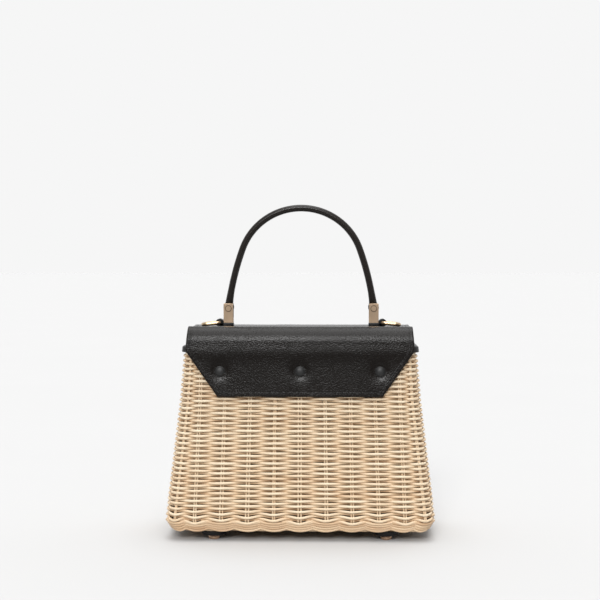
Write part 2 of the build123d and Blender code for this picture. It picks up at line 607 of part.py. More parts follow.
for side_name, side in (("right", 1), ("left", -1)):
    with BuildPart() as base_plate:
        with BuildSketch(Plane.XY.offset(LID_TOP)):
            with Locations((side * BASE_PLATE_X, 0)):
                RectangleRounded(BASE_PLATE_LENGTH, BASE_PLATE_DEPTH, BASE_PLATE_CORNER)
        extrude(amount=BASE_PLATE_THICKNESS)
        with BuildSketch(Plane.XZ.offset(-BASE_PLATE_DEPTH / 2)):
            with Locations((side * RING_PIVOT_X, RING_PIVOT_Z)):
                Circle(KNUCKLE_RADIUS)
        extrude(amount=BASE_PLATE_DEPTH)
        with BuildSketch(Plane.XY.offset(LID_TOP)):
            with Locations((side * RING_PIVOT_X, 0)):
                Rectangle(4 * KNUCKLE_RADIUS, 2 * BASE_PLATE_DEPTH)
        extrude(amount=-2 * KNUCKLE_RADIUS, mode=Mode.SUBTRACT)
        with BuildSketch(Plane.XZ.offset(-BASE_PLATE_DEPTH)):
            with Locations((side * RING_PIVOT_X, RING_PIVOT_Z)):
                Circle(RING_WIRE_RADIUS + BORE_GAP)
        extrude(amount=2 * BASE_PLATE_DEPTH, mode=Mode.SUBTRACT)
        with Locations(*[(side * x, 0, LID_TOP) for x in SCREW_XS]):
            Cylinder(SCREW_RADIUS + SHANK_GAP, 4 * BASE_PLATE_THICKNESS, mode=Mode.SUBTRACT)
    base_plate.part.label = "base_plate_" + side_name
    export_step(base_plate.part, "parts/base_plate_" + side_name + ".step")

    with BuildPart() as bracket:
        with BuildSketch(Plane.XY.offset(BASE_TOP)):
            with Locations((side * HANDLE_PIN_X, 0)):
                Rectangle(BRACKET_WIDTH, 2 * BRACKET_HALF_DEPTH)
        extrude(amount=BRACKET_HEIGHT)
        with BuildSketch(Plane.XY.offset(BASE_TOP + BRACKET_WEB)):
            with Locations((side * HANDLE_PIN_X, 0)):
                Rectangle(2 * BRACKET_WIDTH, 2 * BRACKET_HALF_GAP)
        extrude(amount=BRACKET_HEIGHT, mode=Mode.SUBTRACT)
        chamfer(bracket.faces().filter_by(Axis.Y).group_by(Axis.Y)[0].edges(), BRACKET_EDGE)
        chamfer(bracket.faces().filter_by(Axis.Y).group_by(Axis.Y)[-1].edges(), BRACKET_EDGE)
        with BuildSketch(Plane.XZ.offset(-2 * BRACKET_HALF_DEPTH)):
            with Locations((side * HANDLE_PIN_X, PIN_Z)):
                Circle(PIN_RADIUS + SEAT_GAP / 2)
        extrude(amount=4 * BRACKET_HALF_DEPTH, mode=Mode.SUBTRACT)
        with Locations(*[(side * x, 0, BASE_TOP) for x in SCREW_XS]):
            Cylinder(SCREW_RADIUS + SEAT_GAP / 2, 2 * BRACKET_WEB - SCREW_COVER, mode=Mode.SUBTRACT)
    bracket.part.label = "handle_bracket_" + side_name
    export_step(bracket.part, "parts/handle_bracket_" + side_name + ".step")

    with BuildPart() as pin:
        with BuildSketch(Plane.XZ.offset(-BRACKET_HALF_DEPTH)):
            with Locations((side * HANDLE_PIN_X, PIN_Z)):
                Circle(PIN_RADIUS)
        extrude(amount=2 * BRACKET_HALF_DEPTH)
        front_seat = Plane.XZ.offset(BRACKET_HALF_DEPTH)
        rear_seat = Plane.XZ.offset(-BRACKET_HALF_DEPTH - PIN_HEAD_HEIGHT)
        with BuildSketch(front_seat, rear_seat):
            with Locations((side * HANDLE_PIN_X, PIN_Z)):
                Circle(PIN_HEAD_RADIUS)
        extrude(amount=PIN_HEAD_HEIGHT)
    pin.part.label = "handle_pin_" + side_name
    export_step(pin.part, "parts/handle_pin_" + side_name + ".step")

    for screw_name, screw_x in zip(("inner", "outer"), SCREW_XS):
        with BuildPart() as screw:
            with BuildSketch(Plane.XY.offset(SHELL_UNDER)):
                with Locations((side * screw_x, 0)):
                    Circle(SCREW_HEAD_RADIUS)
                    Rectangle(SCREW_SLOT, SCREW_HEAD_RADIUS * 1.5, mode=Mode.SUBTRACT)
            extrude(amount=SCREW_HEAD_HEIGHT / 2)
            with BuildSketch(Plane.XY.offset(SHELL_UNDER + SCREW_HEAD_HEIGHT / 2)):
                with Locations((side * screw_x, 0)):
                    Circle(SCREW_HEAD_RADIUS)
            extrude(amount=SCREW_HEAD_HEIGHT / 2)
            with BuildSketch(Plane.XY.offset(SCREW_HEAD_Z)):
                with Locations((side * screw_x, 0)):
                    Circle(SCREW_RADIUS)
            extrude(amount=SCREW_TIP - SCREW_HEAD_Z)
        screw.part.label = "bracket_screw_" + side_name + "_" + screw_name
        export_step(screw.part, "parts/bracket_screw_" + side_name + "_" + screw_name + ".step")

    ring_plane = Plane(
        origin=(side * RING_PIVOT_X, 0, RING_PIVOT_Z),
        x_dir=(side * math.cos(RING_TILT), 0, -math.sin(RING_TILT)),
        z_dir=(side * math.sin(RING_TILT), 0, math.cos(RING_TILT)),
    )
    with BuildPart() as ring:
        with BuildLine(ring_plane) as loop:
            FilletPolyline(
                (0, RING_HALF_WIDTH),
                (RING_LENGTH, RING_HALF_WIDTH),
                (RING_LENGTH, -RING_HALF_WIDTH),
                (0, -RING_HALF_WIDTH),
                radius=[RING_INNER_BEND, RING_OUTER_BEND, RING_OUTER_BEND, RING_INNER_BEND],
                close=True,
            )
        with BuildSketch(Plane(origin=loop.wire() @ 0, z_dir=loop.wire() % 0)):
            Circle(RING_WIRE_RADIUS)
        sweep()
    ring.part.label = "strap_ring_" + side_name
    export_step(ring.part, "parts/strap_ring_" + side_name + ".step")
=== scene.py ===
import bpy
import json
import math
import random
import numpy as np
from mathutils import Matrix, Vector


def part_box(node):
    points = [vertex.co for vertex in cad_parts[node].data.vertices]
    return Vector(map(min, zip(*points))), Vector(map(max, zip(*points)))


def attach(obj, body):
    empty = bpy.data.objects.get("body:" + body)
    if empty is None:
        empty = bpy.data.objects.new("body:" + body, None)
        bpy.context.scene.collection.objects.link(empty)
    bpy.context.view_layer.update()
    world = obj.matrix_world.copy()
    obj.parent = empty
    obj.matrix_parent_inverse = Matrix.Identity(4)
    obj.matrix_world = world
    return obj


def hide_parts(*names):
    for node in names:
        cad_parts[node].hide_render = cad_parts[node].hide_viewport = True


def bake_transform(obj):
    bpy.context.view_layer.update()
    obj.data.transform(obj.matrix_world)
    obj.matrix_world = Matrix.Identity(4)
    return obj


# A woven basket box bag. Metres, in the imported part's frame: origin on the floor under the
# middle of the basket, +X to the right seen from the front, +Y to the back, +Z up.
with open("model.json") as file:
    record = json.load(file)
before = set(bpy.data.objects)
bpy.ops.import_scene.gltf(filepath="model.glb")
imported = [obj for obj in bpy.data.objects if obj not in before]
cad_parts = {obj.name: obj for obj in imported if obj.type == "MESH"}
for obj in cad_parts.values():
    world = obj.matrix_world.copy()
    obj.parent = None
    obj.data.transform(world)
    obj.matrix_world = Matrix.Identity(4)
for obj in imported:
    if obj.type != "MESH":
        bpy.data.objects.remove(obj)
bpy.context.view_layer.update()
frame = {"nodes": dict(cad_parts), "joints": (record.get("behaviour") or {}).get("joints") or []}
bpy.ops.object.select_all(action="DESELECT")
random.seed(7)
MM = 0.001

# ---- sizes read from the frame ------------------------------------------------------------
basket_low, basket_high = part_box("basket")
panel_low, panel_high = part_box("rear_panel")
cover_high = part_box("lid_cover")[1]
binding_low, binding_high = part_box("rim_binding")
lining_low, lining_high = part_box("lining")
joint_at = {joint["name"]: Vector(joint["pos_m"]) for joint in frame["joints"]}

BASKET_Z0 = basket_low.z
BASKET_Z1 = basket_high.z
# (height above the underside, width, depth, corner radius) of the basket's outside; the weave
# bulges a little past the solid at the two ends
STATIONS = np.array([
    (0, 272, 124, 18),
    (11, 284.6, 130, 18),
    (136, 255.4, 108, 16),
    (192, 246.6, 98, 14),
]) * MM
WALL = 7 * MM

STAKES = 30  # pairs of stakes round the basket
QUARTER = STAKES / 4
BACK_STAKES = 4  # evenly spaced pairs on either side of the middle of the back
BACK_PITCH = 15.6 * MM  # their spacing, before
BACK_SPREAD = 0.083  # the share of the half width that is added to it
CORNER_PLACE = 0.42  # where the corner's pair stands, in corner radii from the flat wall's end
END_PITCH = 0.41  # spacing on an end wall, as a share of its half depth
STRAND = 1.38 * MM  # radius of a weaver
STAKE_RADIUS = 0.9 * MM
WEAVE_SWING = 1.9 * MM  # how far a weaver bows out and in round the stakes
MID_WALL = -3.3 * MM  # middle of the woven wall, from the basket's outside
ROW_PITCH = 2.56 * MM

LEATHER = 2.2 * MM
ROLL = 14.5 * MM
STITCH_INSET = 4.4 * MM
STITCH_PITCH = 3.3 * MM


# ---- the basket's outline -----------------------------------------------------------------
def outline_at(z):
    """Half width, half depth and corner radius of the basket's outside at height z."""
    rise = np.asarray(z) - BASKET_Z0
    width, depth, corner = (np.interp(rise, STATIONS[:, 0], STATIONS[:, i]) for i in (1, 2, 3))
    # above the last station the walls run on at the same slope
    over = np.maximum(rise - STATIONS[-1, 0], 0)
    span = STATIONS[-1, 0] - STATIONS[-2, 0]
    width = width + over * (STATIONS[-1, 1] - STATIONS[-2, 1]) / span
    depth = depth + over * (STATIONS[-1, 2] - STATIONS[-2, 2]) / span
    return width / 2, depth / 2, corner


def stake_way(u, half_width, half_depth, corner):
    """Distance along a quarter of the outline, from the middle of the back, of stake place u."""
    pitch = BACK_SPREAD * half_width + BACK_PITCH
    side = half_depth * END_PITCH
    flat = half_width - corner
    end = flat + corner * math.pi / 2 + half_depth - corner
    knots = [i * pitch for i in range(BACK_STAKES + 1)]
    knots += [flat + CORNER_PLACE * corner, end - 1.5 * side, end - 0.5 * side, end]
    places = [*range(len(knots) - 1), QUARTER]
    way = np.zeros_like(u)
    for i in range(len(places) - 1):
        share = (u - places[i]) / (places[i + 1] - places[i])
        inside = (share >= 0) & (share <= 1)
        way = np.where(inside, knots[i] + (knots[i + 1] - knots[i]) * share, way)
    return way


def wall_point(u, z, out):
    """Points on the basket's wall at stake place u (0 is the middle of the back, growing
    towards +X), height z, moved outwards by out. All three may be arrays."""
    u, z, out = np.broadcast_arrays(np.asarray(u, float), z, out)
    u = np.mod(u, STAKES)
    fold = np.where(u <= STAKES / 2, u, STAKES - u)
    quarter = np.where(fold <= QUARTER, fold, STAKES / 2 - fold)
    sign_x = np.where(u < STAKES / 2, 1.0, -1.0)
    sign_y = np.where(fold < QUARTER, 1.0, -1.0)
    half_width, half_depth, corner = outline_at(z)
    way = stake_way(quarter, half_width, half_depth, corner)
    flat = half_width - corner
    bend = corner * math.pi / 2
    angle = np.clip((way - flat) / corner, 0, math.pi / 2)
    past = np.maximum(way - flat - bend, 0)
    before = np.minimum(way, flat)
    x = before + np.sin(angle) * (corner + out)
    y = half_depth - corner + np.cos(angle) * (corner + out) - past
    return np.stack([sign_x * x, sign_y * y, z], axis=-1)


# ---- mesh helpers -------------------------------------------------------------------------
def linked(name, data):
    """A new object in the scene."""
    thing = bpy.data.objects.new(name, data)
    bpy.context.scene.collection.objects.link(thing)
    return thing


def made(name):
    """The piece that an operator has just made, with its name."""
    piece = bpy.context.object
    piece.name = piece.data.name = name
    return piece


def new_mesh(name, vertices, faces, material):
    """A piece from points and faces, smooth shaded, with its material."""
    mesh = bpy.data.meshes.new(name)
    mesh.from_pydata([tuple(v) for v in vertices], [], [tuple(f) for f in faces])
    mesh.update()
    mesh.shade_smooth()
    mesh.materials.append(material)
    return linked(name, mesh)


def point_attribute(mesh, name, values):
    """Stores one number for each point of the mesh."""
    attribute = mesh.attributes.new(name, "FLOAT", "POINT")
    attribute.data.foreach_set("value", values.astype(np.float32))


def points_of(mesh):
    """The x, y and z of all the mesh's points."""
    flat = np.empty(len(mesh.vertices) * 3, np.float64)
    mesh.vertices.foreach_get("co", flat)
    return flat.reshape(-1, 3).T


UPRIGHT = 0.3  # a strand that leans less than this from upright is framed by the X axis
GRAIN_SHIFT = 0.37  # metres that the grain moves on from one strand to the next


def tubes(name, paths, radii, tones, sides, material, closed=False, flat=1.0):
    """Round strands along paths (each an array of points), as one piece.

    Each strand carries a tone, and its UV map runs along the strand in metres (U) and round
    it (V). flat squashes a strand across the wall it lies in."""
    vertices, faces, tone_values, face_uvs = [], [], [], []
    turn = np.linspace(0, 2 * math.pi, sides, endpoint=False)
    start = 0
    for number, path in enumerate(paths):
        path = np.asarray(path, float)
        count = len(path)
        radius = np.broadcast_to(np.asarray(radii[number], float), (count,))
        if closed:
            tangent = np.roll(path, -1, 0) - np.roll(path, 1, 0)
        else:
            tangent = np.gradient(path, axis=0)
        tangent /= np.linalg.norm(tangent, axis=1)[:, None]
        across = np.cross(tangent, (0.0, 0.0, 1.0))
        length = np.linalg.norm(across, axis=1)[:, None]
        across = np.where(length > UPRIGHT, across / np.maximum(length, 1e-9), 0)
        if (length <= UPRIGHT).any():
            other = np.cross(tangent, (1.0, 0.0, 0.0))
            other /= np.linalg.norm(other, axis=1)[:, None]
            across = np.where(length > UPRIGHT, across, other)
        lift = np.cross(across, tangent)
        ring = (
            path[:, None, :]
            + across[:, None, :] * (np.cos(turn)[None, :, None] * radius[:, None, None] * flat)
            + lift[:, None, :] * (np.sin(turn)[None, :, None] * radius[:, None, None])
        )
        vertices.append(ring.reshape(-1, 3))
        step = np.linalg.norm(np.diff(path, axis=0), axis=1)
        along = np.concatenate([[0], np.cumsum(step)]) + number * GRAIN_SHIFT
        tone_values.append(np.repeat(np.broadcast_to(tones[number], (count,)), sides))
        last = count if closed else count - 1
        for i in range(last):
            j = (i + 1) % count
            far = along[j] if j else along[-1] + step[-1]
            for s in range(sides):
                t = (s + 1) % sides
                faces.append((
                    start + i * sides + s,
                    start + j * sides + s,
                    start + j * sides + t,
                    start + i * sides + t,
                ))
                low, high = s / sides, (s + 1) / sides
                face_uvs += [along[i], low, far, low, far, high, along[i], high]
        if not closed:
            end = start + (count - 1) * sides
            faces.append(tuple(start + s for s in range(sides)))
            faces.append(tuple(end + s for s in reversed(range(sides))))
            for far in (along[0], along[-1]):
                face_uvs += [v for s in range(sides) for v in (far, s / sides)]
        start += count * sides
    piece = new_mesh(name, np.concatenate(vertices), faces, material)
    layer = piece.data.uv_layers.new(name="along_strand")
    layer.data.foreach_set("uv", np.array(face_uvs, np.float32))
    point_attribute(piece.data, "tone", np.concatenate(tone_values))
    return piece


def only(piece):
    """Makes piece the one selected and active object."""
    bpy.ops.object.select_all(action="DESELECT")
    piece.select_set(True)
    bpy.context.view_layer.objects.active = piece


def edit(piece):
    """Opens piece in edit mode with everything selected."""
    only(piece)
    bpy.ops.object.mode_set(mode="EDIT")
    bpy.ops.mesh.select_all(action="SELECT")


def close_up(gap=0):
    """Leaves edit mode with points within gap merged and all faces turned outwards."""
    bpy.ops.mesh.select_all(action="SELECT")
    if gap:
        bpy.ops.mesh.remove_doubles(threshold=gap)
    bpy.ops.mesh.normals_make_consistent(inside=False)
    bpy.ops.object.mode_set(mode="OBJECT")


def pick(piece, test, kind="FACE"):
    """Selects the faces whose middle and normal, or the edges whose middle and run, pass test."""
    bpy.ops.mesh.select_mode(type=kind)
    bpy.ops.mesh.select_all(action="DESELECT")
    bpy.ops.object.mode_set(mode="OBJECT")
    mesh = piece.data
    if kind == "FACE":
        for polygon in mesh.polygons:
            polygon.select = test(polygon.center, polygon.normal)
    else:
        for edge in mesh.edges:
            a, b = (mesh.vertices[i].co for i in edge.vertices)
            edge.select = test((a + b) / 2, b - a)
    bpy.ops.object.mode_set(mode="EDIT")


def shaped(piece):
    """Leaves edit mode and puts the piece's place into its mesh."""
    if bpy.context.mode != "OBJECT":
        bpy.ops.object.mode_set(mode="OBJECT")
    only(piece)
    bpy.ops.object.transform_apply(location=True, rotation=True, scale=True)
    return piece


def finish_with(piece, kind, **values):
    """Adds a modifier with its values and applies it."""
    only(piece)
    modifier = piece.modifiers.new(kind.lower(), kind)
    for key, value in values.items():
        setattr(modifier, key, value)
    bpy.ops.object.modifier_apply(modifier=modifier.name)


def smooth_by_angle(piece, degrees):
    """Shades the piece smooth except at edges sharper than so many degrees."""
    only(piece)
    bpy.ops.object.shade_smooth_by_angle(angle=math.radians(degrees))


def soften(piece, width):
    """Rounds the piece's hard edges and shades it smooth."""
    finish_with(
        piece, "BEVEL", width=width, segments=3, limit_method="ANGLE",
        angle_limit=math.radians(35), harden_normals=False,
    )
    smooth_by_angle(piece, 40)


def block(name, low, high, material):
    """A box from its lowest to its highest corner, to be shaped further."""
    low, high = Vector(low), Vector(high)
    bpy.ops.mesh.primitive_cube_add(size=1, location=(low + high) / 2)
    piece = made(name)
    piece.scale = high - low
    shaped(piece)
    piece.data.materials.append(material)
    return piece


SAME_POINT = 1e-6  # points closer than this, in metres, are merged


def lathe(name, profile, centre, material, steps=40, turn=Matrix.Identity(4)):
    """A turned piece: profile is (radius, height) points in millimetres, spun about its axis
    at centre."""
    bpy.ops.mesh.primitive_plane_add(size=1)
    piece = made(name)
    edit(piece)
    bpy.ops.mesh.delete(type="VERT")
    bpy.ops.object.mode_set(mode="OBJECT")
    mesh = piece.data
    points = [(r * MM, 0, h * MM) for r, h in profile]
    mesh.from_pydata(points, [(i, i + 1) for i in range(len(points) - 1)], [])
    edit(piece)
    bpy.ops.mesh.spin(
        steps=steps, angle=2 * math.pi, center=(0, 0, 0), axis=(0, 0, 1), use_auto_merge=True
    )
    close_up(SAME_POINT)
    mesh.transform(turn)
    mesh.transform(Matrix.Translation(centre))
    mesh.materials.append(material)
    smooth_by_angle(piece, 35)
    return piece


def joined(name, pieces):
    """Several pieces made one."""
    bpy.ops.object.select_all(action="DESELECT")
    for piece in pieces:
        piece.select_set(True)
    bpy.context.view_layer.objects.active = pieces[0]
    bpy.ops.object.join()
    pieces[0].name = pieces[0].data.name = name
    return pieces[0]


# ---- materials ----------------------------------------------------------------------------
def new_material(name):
    """A material, its node tree and its shader."""
    material = bpy.data.materials.new(name)
    material.use_nodes = True
    tree = material.node_tree
    return material, tree, tree.nodes["Principled BSDF"]


def put(tree, node, key, value):
    """Gives an input of the node a value, or a link where value is another node's output."""
    if isinstance(value, bpy.types.NodeSocket):
        tree.links.new(value, node.inputs[key])
    else:
        node.inputs[key].default_value = value


def add_node(tree, kind, inputs=(), **settings):
    """One node with its settings and input values or links."""
    node = tree.nodes.new(kind)
    for key, value in settings.items():
        setattr(node, key, value)
    for key, value in dict(inputs).items():
        put(tree, node, key, value)
    return node


def math_node(tree, operation, a, b=0.0, clamp=False):
    """The result of one sum, such as ADD, on two values or links."""
    node = add_node(tree, "ShaderNodeMath", {0: a, 1: b}, operation=operation, use_clamp=clamp)
    return node.outputs[0]


def add(tree, a, b):
    """a + b"""
    return math_node(tree, "ADD", a, b)


def times(tree, a, b):
    """a * b"""
    return math_node(tree, "MULTIPLY", a, b)


def minus(tree, a, b, clamp=False):
    """a - b"""
    return math_node(tree, "SUBTRACT", a, b, clamp)


def mix_colours(tree, share, a, b):
    """Colour a where share is 0 and colour b where it is 1."""
    return add_node(tree, "ShaderNodeMix", {0: share, 6: a, 7: b}, data_type="RGBA").outputs[2]


def noise(tree, vector, scale, detail, output="Fac"):
    """Noise over vector, as a number, or as a colour where output is Color."""
    inputs = {"Vector": vector, "Scale": scale, "Detail": detail}
    return add_node(tree, "ShaderNodeTexNoise", inputs).outputs[output]


def stretched(tree, vector, scale):
    """The vector with each axis multiplied by its own scale."""
    return add_node(tree, "ShaderNodeMapping", {"Vector": vector, "Scale": scale}).outputs[0]


def object_place(tree):
    """The point's place in its object."""
    return add_node(tree, "ShaderNodeTexCoord").outputs["Object"]


def ramp(tree, value, stops, colours=True):
    """A colour ramp over value; stops are (place, colour) or (place, grey)."""
    node = add_node(tree, "ShaderNodeValToRGB", {0: value})
    elements = node.color_ramp.elements
    while len(elements) < len(stops):
        elements.new(0.5)
    for element, (place, colour) in zip(elements, stops):
        element.position = place
        element.color = (*colour, 1) if colours else (colour, colour, colour, 1)
    return node.outputs[0]


def group(name, inputs, outputs):
    """An empty node group with named sockets: (name, kind, value)."""
    tree = bpy.data.node_groups.new(name, "ShaderNodeTree")
    for label, kind, value in inputs:
        socket = tree.interface.new_socket(label, in_out="INPUT", socket_type=kind)
        if value is not None:
            socket.default_value = value
    for label, kind in outputs:
        tree.interface.new_socket(label, in_out="OUTPUT", socket_type=kind)
    return tree, tree.nodes.new("NodeGroupInput"), tree.nodes.new("NodeGroupOutput")


def use_group(tree, group_tree, scale, vector):
    """A node that runs the group at this scale over vector."""
    inputs = {"Scale": scale, "Vector": vector}
    return add_node(tree, "ShaderNodeGroup", inputs, node_tree=group_tree)


def pebble_group():
    """Pebbled leather grain: a height, and a mask that is 1 on the pebbles' tops."""
    tree, given, out = group(
        "pebble_grain",
        [("Scale", "NodeSocketFloat", 700.0), ("Vector", "NodeSocketVector", None)],
        [("Height", "NodeSocketFloat"), ("Tops", "NodeSocketFloat")],
    )
    vector = given.outputs["Vector"]
    warp = noise(tree, vector, 180.0, 2.0, "Color")
    shift = add_node(tree, "ShaderNodeVectorMath", {0: warp, 3: 0.5 * MM}, operation="SCALE")
    moved = add_node(
        tree, "ShaderNodeVectorMath", {0: vector, 1: shift.outputs[0]}, operation="ADD"
    )
    cells = add_node(
        tree, "ShaderNodeTexVoronoi",
        {"Vector": moved.outputs[0], "Scale": given.outputs["Scale"], "Smoothness": 0.35},
        feature="SMOOTH_F1",
    )
    tops = minus(tree, 1.0, cells.outputs["Distance"], clamp=True)
    round_tops = math_node(tree, "POWER", tops, 0.7)
    fine = times(tree, noise(tree, vector, 2600.0, 3.0), 0.14)
    height = add(tree, round_tops, fine)
    tree.links.new(height, out.inputs["Height"])
    tree.links.new(tops, out.inputs["Tops"])
    return tree


def wear_group():
    """Uneven handling marks: slow patches with fine specks, from 0 to 1."""
    tree, given, out = group(
        "handling_marks",
        [("Scale", "NodeSocketFloat", 25.0), ("Vector", "NodeSocketVector", None)],
        [("Marks", "NodeSocketFloat")],
    )
    vector = given.outputs["Vector"]
    slow = noise(tree, vector, given.outputs["Scale"], 4.0)
    fine = times(tree, noise(tree, vector, 900.0, 2.0), 0.35)
    tree.links.new(math_node(tree, "ADD", slow, fine, clamp=True), out.inputs["Marks"])
    return tree


PEBBLE = pebble_group()
MARKS = wear_group()


def marks_at(tree, place, scale):
    """Handling marks over place, from 0 to 1."""
    return use_group(tree, MARKS, scale, place).outputs["Marks"]


def bump(tree, shader, height, strength, distance):
    """Lets height tilt the surface, up to distance in metres."""
    inputs = {"Height": height, "Strength": strength, "Distance": distance}
    put(tree, shader, "Normal", add_node(tree, "ShaderNodeBump", inputs).outputs[0])


GRAIN_SCALE = 900.0
GRAIN_WIDTH = 0.72  # the grain is stretched along X by one over this
GRAIN_DEPTH = 0.32 * MM
GROOVE_HALF = 0.9 * MM  # half width of the sunk line along the stitches
GROOVE_DEPTH = 1.6  # in depths of the grain


def leather_material(name, dark, light, roughness, strength=0.6, groove=False):
    """Black pebbled leather; groove sinks the leather along the stitch line."""
    material, tree, shader = new_material(name)
    place = object_place(tree)
    grain = use_group(tree, PEBBLE, GRAIN_SCALE, stretched(tree, place, (GRAIN_WIDTH, 1, 1)))
    marks = marks_at(tree, place, 22.0)
    put(tree, shader, "Base Color", mix_colours(tree, marks, (*dark, 1), (*light, 1)))
    # the tops of the pebbles and the worn patches are smoother
    valley = times(tree, grain.outputs["Tops"], -0.16)
    rough = add(tree, valley, roughness + 0.1)
    worn = times(tree, marks, 0.08)
    put(tree, shader, "Roughness", minus(tree, rough, worn))
    put(tree, shader, "Specular IOR Level", 0.2)
    height = grain.outputs["Height"]
    if groove:
        edge = add_node(tree, "ShaderNodeAttribute", attribute_name="edge_distance")
        off = minus(tree, edge.outputs["Fac"], STITCH_INSET)
        off = math_node(tree, "ABSOLUTE", off)
        near = math_node(tree, "DIVIDE", off, GROOVE_HALF, clamp=True)
        dip = minus(tree, 1.0, near)
        sunk = times(tree, dip, GROOVE_DEPTH)
        height = minus(tree, height, sunk)
    bump(tree, shader, height, strength, GRAIN_DEPTH)
    return material


def wicker_material(name, dark, middle, light):
    """Peeled willow: tone by strand, streaks and slow patches along the strand; on the weavers the
    tone also holds painted shade where they pass inside the wall.
    """
    material, tree, shader = new_material(name)
    tone = add_node(tree, "ShaderNodeAttribute", attribute_name="tone").outputs["Fac"]
    strand = add_node(tree, "ShaderNodeUVMap", uv_map="along_strand").outputs[0]
    streaks = noise(tree, stretched(tree, strand, (45, 9, 1)), 1.6, 5.0)
    slow = noise(tree, stretched(tree, strand, (9, 0.6, 1)), 3.0, 2.0)
    share = times(tree, streaks, 0.22)
    share = add(tree, share, times(tree, slow, 0.5))
    # the tone attribute holds random tone and, on the weavers, painted shade inside the wall
    share = add(tree, share, times(tree, tone, 0.65))
    share = minus(tree, share, 0.14, clamp=True)
    put(tree, shader, "Base Color", ramp(tree, share, [(0.0, dark), (0.45, middle), (1.0, light)]))
    rough = times(tree, streaks, 0.3)
    put(tree, shader, "Roughness", add(tree, rough, 0.34))
    put(tree, shader, "Specular IOR Level", 0.45)
    bump(tree, shader, streaks, 0.2, 0.2 * MM)
    return material


def marked_material(name, dark, light, roughness, scale, roughening):
    """A plain hard finish whose colour and roughness vary a little with handling marks."""
    material, tree, shader = new_material(name)
    marks = marks_at(tree, object_place(tree), scale)
    put(tree, shader, "Base Color", mix_colours(tree, marks, (*dark, 1), (*light, 1)))
    rough = times(tree, marks, roughening)
    put(tree, shader, "Roughness", add(tree, rough, roughness))
    return material, tree, shader


def metal_material(name, colour, roughness):
    """Plated metal with faint wipe marks."""
    darker = tuple(c * (1 - 0.06) for c in colour)
    material, tree, shader = marked_material(name, darker, colour, roughness, 60.0, 0.08)
    put(tree, shader, "Metallic", 1.0)
    return material


def gloss_material(name, colour, roughness, shine=0.5):
    """Black enamel, plating or edge paint with faint marks."""
    lighter = tuple(c * 1.8 + 0.002 for c in colour)
    material, tree, shader = marked_material(name, colour, lighter, roughness, 120.0, 0.15)
    put(tree, shader, "Specular IOR Level", shine)
    return material


def cloth_material(name, colour, light, scale=900.0):
    """Twill: fine slanting ribs."""
    material, tree, shader = new_material(name)
    place = object_place(tree)
    turn = {"Vector": place, "Rotation": (0.6, 0.5, math.radians(38))}
    turned = add_node(tree, "ShaderNodeMapping", turn).outputs[0]
    waves = {"Vector": turned, "Scale": scale, "Distortion": 1.5}
    ribs = add_node(tree, "ShaderNodeTexWave", waves).outputs["Fac"]
    share = times(tree, ribs, noise(tree, place, 1400.0, 3.0))
    put(tree, shader, "Base Color", mix_colours(tree, share, (*colour, 1), (*light, 1)))
    put(tree, shader, "Roughness", 0.9)
    put(tree, shader, "Sheen Weight", 0.2)
    bump(tree, shader, share, 0.4, 0.2 * MM)
    return material


LEATHER_COVER = leather_material(
    "cover_leather", (0.0042, 0.0032, 0.0026), (0.0085, 0.0068, 0.0058), 0.31, groove=True
)
LEATHER_PLAIN = leather_material(
    "plain_leather", (0.004, 0.004, 0.004), (0.009, 0.008, 0.008), 0.40
)
LEATHER_HANDLE = leather_material(
    "handle_leather", (0.011, 0.009, 0.008), (0.020, 0.017, 0.015), 0.32, 0.3
)
EDGE_PAINT = gloss_material("edge_paint", (0.004, 0.004, 0.004), 0.3)
THREAD = cloth_material("black_thread", (0.004, 0.004, 0.004), (0.02, 0.02, 0.02), 2500.0)
ENAMEL = gloss_material("black_enamel", (0.004, 0.004, 0.004), 0.42)
WICKER = wicker_material("willow", (0.34, 0.16, 0.06), (0.64, 0.465, 0.295), (0.755, 0.645, 0.48))
WICKER_STAKE = wicker_material(
    "willow_stakes", (0.38, 0.19, 0.08), (0.66, 0.47, 0.29), (0.75, 0.61, 0.44)
)
BRUSHED_GOLD = metal_material("brushed_gold", (0.53, 0.39, 0.27), 0.34)
RING_GOLD = metal_material("ring_gold", (0.56, 0.42, 0.27), 0.26)
ROSE_GOLD = metal_material("rose_gold", (0.66, 0.44, 0.30), 0.26)
STEEL = metal_material("plated_steel", (0.55, 0.55, 0.56), 0.28)
DARK_PLATE = gloss_material("dark_plate", (0.003, 0.003, 0.003), 0.24, 0.25)
SHELL = gloss_material("moulded_shell", (0.008, 0.008, 0.008), 0.42)
TWILL = cloth_material("twill_lining", (0.010, 0.009, 0.008), (0.045, 0.04, 0.035))
BOARD = cloth_material("grey_board", (0.20, 0.15, 0.10), (0.34, 0.27, 0.19), 300.0)
CORD = cloth_material("cotton_cord", (0.50, 0.46, 0.38), (0.68, 0.63, 0.53), 700.0)


# ---- basket: weavers, stakes, foot border, floor ------------------------------------------
ANY_PHASE = 6.28  # radians


def closed_wave(u, rng, cycles):
    """A sum of waves round the basket, each with its own strength and phase."""
    total = np.zeros_like(u)
    for cycle in cycles:
        strength = rng.uniform(-1, 1)
        total += strength * np.sin(2 * math.pi * cycle * u / STAKES + rng.uniform(0, ANY_PHASE))
    return total


def slow_wave(u, seed, size):
    """Unevenness that takes many stakes to come and go."""
    return closed_wave(u, random.Random(seed), (1, 2, 3, 5, 8)) * size / 3


def short_wave(u, seed, size):
    """Unevenness from one stake to the next."""
    return closed_wave(u, random.Random(seed * 31 + 5), (11, 17, 26, 37)) * size / 2


ROWS_LOW = BASKET_Z0 + 12.0 * MM
ROWS_HIGH = BASKET_Z1 - 2.0 * MM
ROW_COUNT = round((ROWS_HIGH - ROWS_LOW) / ROW_PITCH)
STEPS = 9  # points from one stake to the next
SWING_SHAPE = 0.75  # below 1 a weaver lies flatter over the stakes than a cosine does
FOOT_ROWS = 6  # rows above the foot that still dip with its scallops
FOOT_DIP = 2.6 * MM  # how far the lowest of them dips


